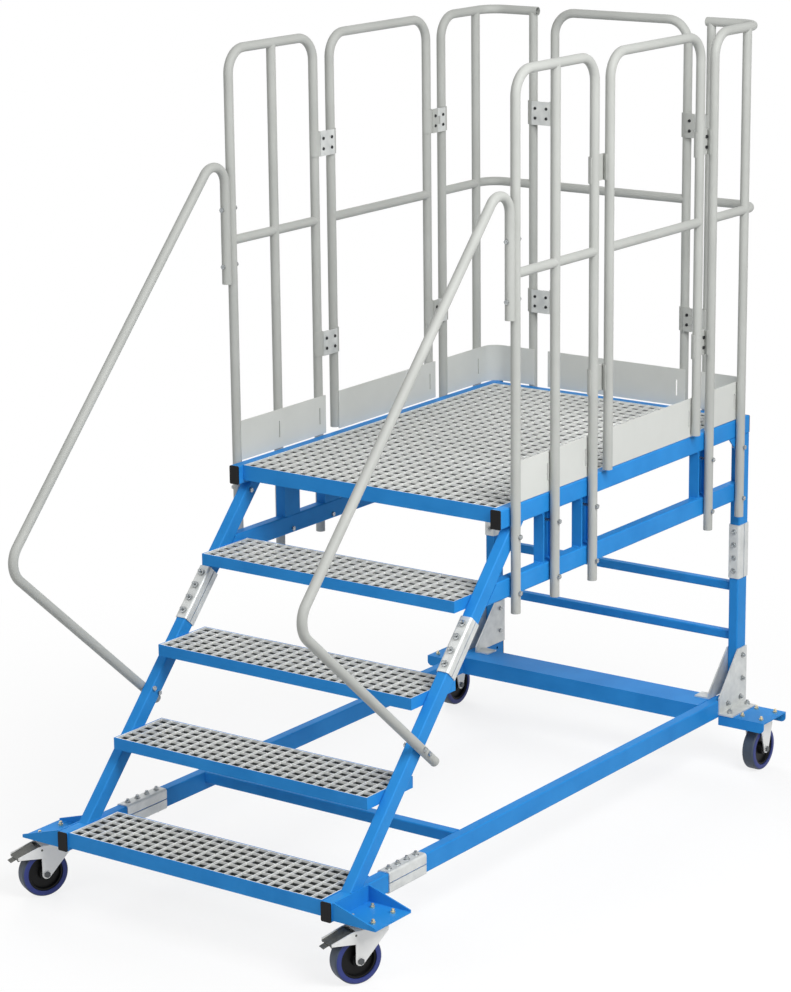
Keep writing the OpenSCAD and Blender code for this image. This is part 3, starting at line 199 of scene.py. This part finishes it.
# A splice has four bolts in a row along its tube; each row is given by its first bolt
tube_x, bolt_pitch = 0.415, 0.038
base_shell_top, base_bolt_y = 0.2022, -0.56728
stringer_bolt_y, stringer_bolt_z, stringer_half_grip = -0.41805, 0.64326, 0.0272
slope_run, slope_rise = 0.6810, 0.7323
post_shell_front, post_bolt_z = 0.99052, 0.556
gusset_face = 0.4332
gusset_bolts = ((1.01772, 0.236), (1.01772, 0.305), (0.93672, 0.183), (1.00872, 0.183))
foot_x, foot_top, foot_bolt_y = 0.4545, 0.1620, (0.9150, 1.0150)
steps = [number * bolt_pitch for number in range(4)]
seats = [((tube_x, base_bolt_y - step, base_shell_top), (0.0, 0.0, 1.0)) for step in steps]
for step in steps:
    seat_y = stringer_bolt_y + step * slope_run - stringer_half_grip * slope_rise
    seat_z = stringer_bolt_z + step * slope_rise + stringer_half_grip * slope_run
    seats.append(((tube_x, seat_y, seat_z), (0.0, -slope_rise, slope_run)))
seats += [((tube_x, post_shell_front, post_bolt_z + step), (0.0, -1.0, 0.0)) for step in steps]
seats += [((gusset_face, y, z), (1.0, 0.0, 0.0)) for y, z in gusset_bolts]
foot_seats = [((foot_x, y, foot_top), (0.0, 0.0, 1.0)) for y in foot_bolt_y]
for side, side_name in ((1.0, "right"), (-1.0, "left")):
    pieces = []
    for number, (seat, axis) in enumerate(seats):
        pieces += [(f"bolt_washer_{side_name}_{number}", washer, seat, axis, 0.0),
                   (f"bolt_thread_{side_name}_{number}", stud, seat, axis, hexagon_h - sunk)]
    for number, (seat, axis) in enumerate(foot_seats):
        pieces += [(f"foot_washer_{side_name}_{number}", washer, seat, axis, 0.0),
                   (f"foot_nut_{side_name}_{number}", foot_nut, seat, axis, washer_h),
                   (f"foot_thread_{side_name}_{number}", stud, seat, axis, washer_h + foot_nut_h - sunk)]
    for name, model, seat, axis, lift in pieces:
        aim = Vector((side * axis[0], axis[1], axis[2]))
        spot = Vector((side * seat[0], seat[1], seat[2])) + aim * lift
        set_copy(name, model, spot, aim, bolt_steel, "frame")
for model in bolt_models:
    bpy.data.objects.remove(model)

# Gratings of the treads and the deck: steel bars pressed into a grid and hot-dip galvanised. The top
# few millimetres of the bars carry a painted highlight, near white, and the flanks below are painted dark
# as the shade between the bars, with a faint spangle.
bar_spangle_w, bright_edge, shaded_from = 0.009, 0.0056, 0.0076
# The gratings lie one rise apart, so the share of a rise gives the depth below each top. The small
# shift keeps the top face itself on the bright side of the next whole number.
grating_rise, top_shift = 0.200, -0.002
galvanised, tree, shader, place = start_material("hot_dip_galvanised_steel")
spangle = add_node(tree, "TexVoronoi", {"Scale": 1 / bar_spangle_w}, {"Vector": place})
# Painted shade: the flanks are coloured dark grey for the shade that falls between the bars
shaded_flank = add_node(tree, "ValToRGB", {"stops": ((0.0, "#424544"), (1.0, "#505352"))},
                 {"Fac": spangle.outputs["Color"]})
height = add_node(tree, "SeparateXYZ", {}, {"Vector": place})
share = add_node(tree, "Math", {"operation": "MULTIPLY_ADD", 1: 1 / grating_rise, 2: top_shift},
                 {0: height.outputs["Z"]})
level = add_node(tree, "Math", {"operation": "FRACT"}, {0: share.outputs["Value"]})
# Painted highlight: the top few millimetres below each grating top turn near white
lit_bar_top_and_worn_tread = add_node(tree, "MapRange", {"From Min": 1.0 - shaded_from / grating_rise,
                                   "From Max": 1.0 - bright_edge / grating_rise},
                {"Value": level.outputs["Value"]})
tone = add_node(tree, "Mix", {"data_type": "RGBA", 7: srgb("#FAFBF8")},
                {0: lit_bar_top_and_worn_tread.outputs["Result"], 6: shaded_flank.outputs["Color"]})
tree.links.new(tone.outputs[2], shader.inputs["Base Color"])
rough = add_node(tree, "MapRange", {"To Min": 0.50, "To Max": 0.36}, {"Value": lit_bar_top_and_worn_tread.outputs["Result"]})
tree.links.new(rough.outputs["Result"], shader.inputs["Roughness"])
shader.inputs["Metallic"].default_value = 0.3
paint(["tread_gratings", "deck_grating"], galvanised)

# Guard rails, gates, handrails and toe boards, with the brackets welded to the posts: round steel
# tube and folded sheet in a pale grey powder coat, satin. The flat boards lie inside the tubes, below
# board_top, and their smoother coat is a shade paler.
rail_cloud_w = 0.150
board_x, board_y, board_top = 0.43007, 1.02530, 1.111
grey_coat, tree, shader, place = start_material("pale_grey_powder_coat")
cloud = add_node(tree, "TexNoise", {"Scale": 1 / rail_cloud_w, "Detail": 3.0}, {"Vector": place})
tone = add_node(tree, "ValToRGB", {"stops": ((0.30, "#B3B5B1"), (0.70, "#BBBDB9"))},
                {"Fac": cloud.outputs["Fac"]})
board_tone = add_node(tree, "ValToRGB", {"stops": ((0.30, "#D1D3CF"), (0.70, "#D8DAD6"))},
                      {"Fac": cloud.outputs["Fac"]})
spot = add_node(tree, "SeparateXYZ", {}, {"Vector": place})
across_x = add_node(tree, "Math", {"operation": "ABSOLUTE"}, {0: spot.outputs["X"]})
inside_x = add_node(tree, "Math", {"operation": "LESS_THAN", 1: board_x}, {0: across_x.outputs["Value"]})
inside_y = add_node(tree, "Math", {"operation": "LESS_THAN", 1: board_y}, {0: spot.outputs["Y"]})
below = add_node(tree, "Math", {"operation": "LESS_THAN", 1: board_top}, {0: spot.outputs["Z"]})
inside = add_node(tree, "Math", {"operation": "MULTIPLY"},
                  {0: inside_x.outputs["Value"], 1: inside_y.outputs["Value"]})
is_board = add_node(tree, "Math", {"operation": "MULTIPLY"},
                    {0: inside.outputs["Value"], 1: below.outputs["Value"]})
coat = add_node(tree, "Mix", {"data_type": "RGBA"},
                {0: is_board.outputs["Value"], 6: tone.outputs["Color"], 7: board_tone.outputs["Color"]})
tree.links.new(coat.outputs[2], shader.inputs["Base Color"])
peel = add_node(tree, "TexNoise", {"Scale": 1 / peel_w, "Detail": 2.0}, {"Vector": place})
rough = add_node(tree, "MapRange", {"To Min": 0.40, "To Max": 0.52}, {"Value": peel.outputs["Fac"]})
tree.links.new(rough.outputs["Result"], shader.inputs["Roughness"])
bump = add_node(tree, "Bump", {"Strength": 0.02, "Distance": 0.0004}, {"Height": peel.outputs["Fac"]})
tree.links.new(bump.outputs["Normal"], shader.inputs["Normal"])
shader.inputs["Specular IOR Level"].default_value = 0.15
paint(["guard_front_left", "guard_front_right", "guard_corner_left", "guard_corner_right", "toe_boards",
       "handrail_left", "handrail_right", "gate_left", "gate_right", "gate_rear", "hinge_brackets",
       "gate_left_brackets", "gate_right_brackets", "gate_rear_brackets"], grey_coat)

# Hinge screws: socket button heads in blackened steel, two pairs through each hinge plate and its
# bracket tabs, with hexagon nuts on the outside. A head is turned from bar with a domed rim, and its
# socket is pressed in.
head_r, head_h, dome, socket_r, socket_deep = 0.0044, 0.0026, 0.0014, 0.0022, 0.0016
small_nut_r, small_nut_h = 0.0046, 0.0040
button_head = bevelled_blank(24, head_r, head_h, dome, 3)
for face in button_head.data.polygons:
    face.select = face.normal.z > 0.99 and face.center.z > 0.9 * head_h
bpy.ops.object.mode_set(mode="EDIT")
bpy.ops.mesh.inset(thickness=head_r - dome - socket_r)
bpy.ops.mesh.extrude_region_move(TRANSFORM_OT_translate={"value": (0.0, 0.0, -socket_deep)})
bpy.ops.object.mode_set(mode="OBJECT")
bpy.ops.object.shade_smooth_by_angle(angle=smooth_angle)
small_nut = bevelled_blank(6, small_nut_r, small_nut_h, rim_bevel, 2)
screw_cloud_w = 0.002
black_steel, tree, shader, place = start_material("blackened_screw_steel")
cloud = add_node(tree, "TexNoise", {"Scale": 1 / screw_cloud_w, "Detail": 2.0}, {"Vector": place})
tone = add_node(tree, "ValToRGB", {"stops": ((0.0, "#242527"), (1.0, "#3A3B3D"))},
                {"Fac": cloud.outputs["Fac"]})
tree.links.new(tone.outputs["Color"], shader.inputs["Base Color"])
rough = add_node(tree, "MapRange", {"To Min": 0.32, "To Max": 0.48}, {"Value": cloud.outputs["Fac"]})
tree.links.new(rough.outputs["Result"], shader.inputs["Roughness"])
shader.inputs["Metallic"].default_value = 0.6
plate_in, tab_out, screw_step, screw_rise = 0.4245, 0.4300, 0.0187, 0.0140
side_hinge_y, side_catch_y = 0.7582, 0.2342
rear_in, rear_tab_out, rear_gap_x = 1.0197, 1.0252, 0.2545
hinge_levels = (1.254, 1.800)
screw_rows = []
for side, body in ((1.0, "gate_right"), (-1.0, "gate_left")):
    for y, carrier in ((side_hinge_y + screw_step, "frame"), (side_hinge_y - screw_step, body),
                       (side_catch_y - screw_step, "frame")):
        screw_rows.append(((side * plate_in, y), (side * tab_out, y), (-side, 0.0, 0.0), carrier))
    # The free half of a catch plate has its screws too, flush at the back where the gate closes
    screw_rows.append(((side * plate_in, side_catch_y + screw_step), None, (-side, 0.0, 0.0), "frame"))
for x, carrier in ((rear_gap_x + screw_step, "frame"), (rear_gap_x - screw_step, "gate_rear"),
                   (-rear_gap_x - screw_step, "frame")):
    screw_rows.append(((x, rear_in), (x, rear_tab_out), (0.0, -1.0, 0.0), carrier))
screw_rows.append(((-rear_gap_x + screw_step, rear_in), None, (0.0, -1.0, 0.0), "frame"))
screw_levels = [level + rise for level in hinge_levels for rise in (-screw_rise, screw_rise)]
for row, (inner, outer, inward, carrier) in enumerate(screw_rows):
    outward = [-part for part in inward]
    for step, z in enumerate(screw_levels):
        set_copy(f"hinge_screw_{row}_{step}", button_head, (*inner, z), inward, black_steel, carrier)
        if outer is not None:
            set_copy(f"hinge_nut_{row}_{step}", small_nut, (*outer, z), outward, black_steel, carrier)
for model in (button_head, small_nut):
    bpy.data.objects.remove(model)

# Weld beads of the truss: fillets run by hand along the foot and head of each folded upright, then
# powder coated with the frame. A bead is a rippled rod that sinks halfway into the corner.
bead_r, web_bead_l, flange_bead_l = 0.0034, 0.056, 0.026
ripple_w, ripple_h, ring_step = 0.005, 0.0030, 0.0016
ripple = bpy.data.textures.new("weld_ripple", "CLOUDS")
ripple.noise_scale = ripple_w
bead_models = []
for length in (web_bead_l, flange_bead_l):
    bpy.ops.object.select_all(action="DESELECT")
    bpy.ops.mesh.primitive_cylinder_add(vertices=10, radius=bead_r, depth=length)
    bead = bpy.context.object
    bpy.ops.object.mode_set(mode="EDIT")
    bpy.ops.mesh.select_mode(type="EDGE")
    bpy.ops.mesh.select_all(action="DESELECT")
    bpy.ops.object.mode_set(mode="OBJECT")
    points = bead.data.vertices
    for edge in bead.data.edges:
        first, second = edge.vertices
        edge.select = abs(points[first].co.z - points[second].co.z) > length / 2
    bpy.ops.object.mode_set(mode="EDIT")
    bpy.ops.mesh.subdivide(number_cuts=round(length / ring_step))
    bpy.ops.object.mode_set(mode="OBJECT")
    wave = bead.modifiers.new("ripple", "DISPLACE")
    wave.texture = ripple
    wave.strength = ripple_h
    wave.mid_level = 0.5
    bpy.ops.object.modifier_apply(modifier=wave.name)
    bpy.ops.object.shade_smooth()
    bead_models.append(bead)
web_bead, flange_bead = bead_models
upright_places, web_x, flange_out = (0.01772, 0.19772, 0.79472), 0.4048, 0.0335
upright_low, upright_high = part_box("truss_uprights")
for side, side_name in ((1.0, "right"), (-1.0, "left")):
    for place_y in upright_places:
        for end, z in (("foot", upright_low[2]), ("head", upright_high[2])):
            beads = ((web_bead, "web", (side * web_x, place_y, z), (0.0, 1.0, 0.0)),
                     (flange_bead, "front", (side * tube_x, place_y - flange_out, z), (1.0, 0.0, 0.0)),
                     (flange_bead, "back", (side * tube_x, place_y + flange_out, z), (1.0, 0.0, 0.0)))
            for model, edge_name, spot, run in beads:
                name = f"weld_{side_name}_{round(place_y * 1000)}_{end}_{edge_name}"
                set_copy(name, model, spot, run, blue_coat, "frame")
for bead in bead_models:
    bpy.data.objects.remove(bead)

# End caps and wheel hubs: black polypropylene and nylon, moulded with a fine matt grain. The caps
# are pushed into the tube ends, and the hubs carry the tyres.
mould_grain_w = 0.0015
black_plastic, tree, shader, place = start_material("black_moulded_plastic")
grain = add_node(tree, "TexNoise", {"Scale": 1 / mould_grain_w, "Detail": 2.0}, {"Vector": place})
tone = add_node(tree, "ValToRGB", {"stops": ((0.0, "#0A0A0B"), (1.0, "#141516"))},
                {"Fac": grain.outputs["Fac"]})
tree.links.new(tone.outputs["Color"], shader.inputs["Base Color"])
rough = add_node(tree, "MapRange", {"To Min": 0.38, "To Max": 0.55}, {"Value": grain.outputs["Fac"]})
tree.links.new(rough.outputs["Result"], shader.inputs["Roughness"])
shader.inputs["Specular IOR Level"].default_value = 0.2
paint(["end_caps", "hub_front_left", "hub_front_right", "hub_rear_left", "hub_rear_right"], black_plastic)

# Caster forks and top plates: pressed steel, zinc plated, paler and more matt than the bolts. The axle
# bolts that stand out of the fork legs are darker steel, found by their distance from the axle's line.
fork_cloud_w, nut_reach, leg_face = 0.020, 0.0090, 0.0274
front_caster_x, front_caster_y, rear_caster_x, rear_caster_y = 0.496, -0.85778, 0.524, 0.95772
axle_z, trail, front_turn = 0.0625, 0.048, math.radians(-26.0)
front_axle_y = front_caster_y - trail * math.cos(front_turn)
trail_x = trail * math.sin(front_turn)
for name, axle_x, axle_y, axle_turn in (("rear_caster_forks", rear_caster_x, rear_caster_y, 0.0),
                                        ("fork_left", trail_x - front_caster_x, front_axle_y, front_turn),
                                        ("fork_right", trail_x + front_caster_x, front_axle_y, front_turn)):
    fork_zinc, tree, shader, place = start_material("zinc_plated_pressed_steel_" + name)
    cloud = add_node(tree, "TexNoise", {"Scale": 1 / fork_cloud_w, "Detail": 4.0}, {"Vector": place})
    tone = add_node(tree, "ValToRGB", {"stops": ((0.0, "#E2E3E2"), (1.0, "#EFEFED"))},
                    {"Fac": cloud.outputs["Fac"]})
    if name == "rear_caster_forks":
        # Both rear forks are one node, so the left one is folded over the right one
        place = add_node(tree, "VectorMath", {"operation": "ABSOLUTE"}, {0: place}).outputs["Vector"]
    middle = add_node(tree, "Mapping", {"vector_type": "TEXTURE", "Location": (axle_x, axle_y, axle_z),
                                        "Rotation": (0.0, 0.0, axle_turn)}, {"Vector": place})
    flat = add_node(tree, "VectorMath", {"operation": "MULTIPLY", 1: (0.0, 1.0, 1.0)},
                    {0: middle.outputs["Vector"]})
    radius = add_node(tree, "VectorMath", {"operation": "LENGTH"}, {0: flat.outputs["Vector"]})
    near_axle = add_node(tree, "Math", {"operation": "LESS_THAN", 1: nut_reach},
                         {0: radius.outputs["Value"]})
    along = add_node(tree, "SeparateXYZ", {}, {"Vector": middle.outputs["Vector"]})
    width = add_node(tree, "Math", {"operation": "ABSOLUTE"}, {0: along.outputs["X"]})
    outside = add_node(tree, "Math", {"operation": "GREATER_THAN", 1: leg_face},
                       {0: width.outputs["Value"]})
    is_nut = add_node(tree, "Math", {"operation": "MULTIPLY"},
                      {0: near_axle.outputs["Value"], 1: outside.outputs["Value"]})
    steel = add_node(tree, "Mix", {"data_type": "RGBA", 7: srgb("#55585A")},
                     {0: is_nut.outputs["Value"], 6: tone.outputs["Color"]})
    tree.links.new(steel.outputs[2], shader.inputs["Base Color"])
    rough = add_node(tree, "MapRange", {"To Min": 0.34, "To Max": 0.50}, {"Value": cloud.outputs["Fac"]})
    tree.links.new(rough.outputs["Result"], shader.inputs["Roughness"])
    shader.inputs["Metallic"].default_value = 0.3
    paint([name], fork_zinc)
# The heads lie far from any axle, so the last fork's finish shows on them without a dark place
paint(["front_caster_heads"], fork_zinc)

# Brake pedals: pressed steel plate, zinc plated, coloured dark grey as painted shade for the shadow they
# lie in, and scuffed paler by shoes. They tip on a pin between the legs of the front forks.
scuff_w = 0.008
pedal_steel, tree, shader, place = start_material("pedal_zinc_in_painted_shade")
scuff = add_node(tree, "TexNoise", {"Scale": 1 / scuff_w, "Detail": 6.0, "Roughness": 0.7},
                 {"Vector": place})
# Painted shade: the zinc is coloured dark grey for the shadow the pedals lie in, with random paler patches
tone = add_node(tree, "ValToRGB", {"stops": ((0.35, "#4C4D4A"), (0.75, "#73746F"))},
                {"Fac": scuff.outputs["Fac"]})
tree.links.new(tone.outputs["Color"], shader.inputs["Base Color"])
rough = add_node(tree, "MapRange", {"To Min": 0.36, "To Max": 0.56}, {"Value": scuff.outputs["Fac"]})
tree.links.new(rough.outputs["Result"], shader.inputs["Roughness"])
shader.inputs["Metallic"].default_value = 0.6
paint(["pedal_left", "pedal_right"], pedal_steel)

# Caster bolts: hexagon bolts and nuts in yellow passivated zinc. The threaded ends stand out above the
# nuts; an end is a turned stub with a rounded rim, sunk a little into its nut.
passive_cloud_w = 0.006
yellow_zinc, tree, shader, place = start_material("yellow_passivated_zinc")
cloud = add_node(tree, "TexNoise", {"Scale": 1 / passive_cloud_w, "Detail": 2.0}, {"Vector": place})
tone = add_node(tree, "ValToRGB", {"stops": ((0.0, "#D9BF84"), (1.0, "#F1E8CC"))},
                {"Fac": cloud.outputs["Fac"]})
tree.links.new(tone.outputs["Color"], shader.inputs["Base Color"])
rough = add_node(tree, "MapRange", {"To Min": 0.20, "To Max": 0.34}, {"Value": cloud.outputs["Fac"]})
tree.links.new(rough.outputs["Result"], shader.inputs["Roughness"])
shader.inputs["Metallic"].default_value = 0.8
paint(["caster_bolts"], yellow_zinc)
tip_r, tip_h, tip_rim, tip_foot = 0.0040, 0.0070, 0.0010, 0.1634
bolt_half_x, bolt_half_y = 0.030, 0.040
thread_end = bevelled_blank(20, tip_r, tip_h, tip_rim, 2)
bpy.ops.object.shade_smooth_by_angle(angle=smooth_angle)
caster_bolt_places = [(x + step_x, y + step_y)
                      for x, y in ((front_caster_x, front_caster_y), (rear_caster_x, rear_caster_y))
                      for step_x in (-bolt_half_x, bolt_half_x)
                      for step_y in (-bolt_half_y, bolt_half_y)]
for side, side_name in ((1.0, "right"), (-1.0, "left")):
    for number, (x, y) in enumerate(caster_bolt_places):
        set_copy(f"caster_bolt_end_{side_name}_{number}", thread_end, (side * x, y, tip_foot),
                 (0.0, 0.0, 1.0), yellow_zinc, "frame")
bpy.data.objects.remove(thread_end)

# Wheel treads: elastic rubber moulded round the hub. The sides are dark blue with a fine grain, and
# the running surface is scuffed to a greyer blue. Radii are measured from each wheel's axle.
rubber_grain_w, side_r, running_r = 0.003, 0.0585, 0.0605
for wheel, axle_turn in (("front_left", front_turn), ("front_right", front_turn),
                         ("rear_left", 0.0), ("rear_right", 0.0)):
    rubber, tree, shader, place = start_material("blue_elastic_rubber_" + wheel)
    low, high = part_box("tyre_" + wheel)
    middle = add_node(tree, "Mapping", {"vector_type": "TEXTURE",
                                        "Location": [(low[i] + high[i]) / 2 for i in range(3)],
                                        "Rotation": (0.0, 0.0, axle_turn)}, {"Vector": place})
    flat = add_node(tree, "VectorMath", {"operation": "MULTIPLY", 1: (0.0, 1.0, 1.0)},
                    {0: middle.outputs["Vector"]})
    radius = add_node(tree, "VectorMath", {"operation": "LENGTH"}, {0: flat.outputs["Vector"]})
    scuffed = add_node(tree, "MapRange", {"From Min": side_r, "From Max": running_r},
                       {"Value": radius.outputs["Value"]})
    grain = add_node(tree, "TexNoise", {"Scale": 1 / rubber_grain_w, "Detail": 3.0}, {"Vector": place})
    blue = add_node(tree, "ValToRGB", {"stops": ((0.0, "#232E6C"), (1.0, "#2E3D86"))},
                    {"Fac": grain.outputs["Fac"]})
    lit_bar_top_and_worn_tread = add_node(tree, "ValToRGB", {"stops": ((0.0, "#303A4C"), (1.0, "#465260"))},
                    {"Fac": grain.outputs["Fac"]})
    tone = add_node(tree, "Mix", {"data_type": "RGBA"},
                    {0: scuffed.outputs["Result"], 6: blue.outputs["Color"], 7: lit_bar_top_and_worn_tread.outputs["Color"]})
    tree.links.new(tone.outputs[2], shader.inputs["Base Color"])
    rough = add_node(tree, "MapRange", {"To Min": 0.45, "To Max": 0.65}, {"Value": grain.outputs["Fac"]})
    tree.links.new(rough.outputs["Result"], shader.inputs["Roughness"])
    bump = add_node(tree, "Bump", {"Strength": 0.15, "Distance": 0.0003}, {"Height": grain.outputs["Fac"]})
    tree.links.new(bump.outputs["Normal"], shader.inputs["Normal"])
    paint(["tyre_" + wheel], rubber)

# Floor: a wide pale studio floor. It takes the soft shadow near the object and turns white to the
# camera further out, so that no horizon shows.
floor_w, shadow_r, white_r, shadow_glow = 60.0, 1.2, 2.6, 0.80
bpy.ops.object.select_all(action="DESELECT")
bpy.ops.mesh.primitive_plane_add(size=floor_w)
floor = bpy.context.object
floor.name = "floor"
studio, tree, shader, place = start_material("pale_studio_floor")
shader.inputs["Roughness"].default_value = 0.9
away = add_node(tree, "VectorMath", {"operation": "LENGTH"}, {0: place})
far = add_node(tree, "MapRange", {"From Min": shadow_r, "From Max": white_r, "To Min": shadow_glow},
               {"Value": away.outputs["Value"]})
ray = add_node(tree, "LightPath", {}, {})
mirrored = add_node(tree, "Math", {"operation": "MAXIMUM"},
                    {0: ray.outputs["Is Glossy Ray"], 1: ray.outputs["Is Transmission Ray"]})
seen = add_node(tree, "Math", {"operation": "MAXIMUM"},
                {0: ray.outputs["Is Camera Ray"], 1: mirrored.outputs["Value"]})
pale = add_node(tree, "Mix", {"data_type": "RGBA", 6: srgb("#C8C8C8"), 7: srgb("#FFFFFF")},
                {0: seen.outputs["Value"]})
tree.links.new(pale.outputs[2], shader.inputs["Base Color"])
white = add_node(tree, "Math", {"operation": "MULTIPLY"},
                 {0: far.outputs["Result"], 1: seen.outputs["Value"]})
glow = add_node(tree, "Emission", {"Color": srgb("#FFFFFF"), "Strength": 1.0}, {})
mix = add_node(tree, "MixShader", {}, {0: white.outputs["Value"], 1: shader.outputs["BSDF"],
                                       2: glow.outputs["Emission"]})
tree.links.new(mix.outputs["Shader"], tree.nodes["Material Output"].inputs["Surface"])
floor.data.materials.append(studio)

# Light: an even white surround and three large soft boxes: the key high at the right side, a fill in
# front, and one behind at the left, which keeps the back and the left side readable.
surround_light, lamp_aim = 0.28, Vector((0.0, 0.0, 0.9))
world = bpy.data.worlds.new("studio")
bpy.context.scene.world = world
world.use_nodes = True
tree = world.node_tree
surround = tree.nodes["Background"]
surround.inputs["Color"].default_value = srgb("#FFFFFF")
ray = add_node(tree, "LightPath", {}, {})
mirrored = add_node(tree, "Math", {"operation": "MAXIMUM"},
                    {0: ray.outputs["Is Glossy Ray"], 1: ray.outputs["Is Transmission Ray"]})
seen = add_node(tree, "Math", {"operation": "MAXIMUM"},
                {0: ray.outputs["Is Camera Ray"], 1: mirrored.outputs["Value"]})
level = add_node(tree, "MapRange", {"To Min": surround_light, "To Max": 1.0},
                 {"Value": seen.outputs["Value"]})
tree.links.new(level.outputs["Result"], surround.inputs["Strength"])
for name, spot, power, size in (("key", (3.4, -1.0, 3.8), 185.0, 2.5),
                                ("fill", (-1.5, -6.0, 4.0), 90.0, 3.0),
                                ("back", (-4.2, 3.4, 3.2), 170.0, 3.0)):
    lamp_data = bpy.data.lights.new(name, "AREA")
    lamp_data.energy = power
    lamp_data.size = size
    lamp = bpy.data.objects.new(name, lamp_data)
    lamp.location = spot
    lamp.rotation_euler = (lamp_aim - Vector(spot)).to_track_quat("-Z", "Y").to_euler()
    # The lamp behind lights the coat only and leaves no glint along the rims
    lamp.visible_glossy = name != "back"
    bpy.context.scene.collection.objects.link(lamp)
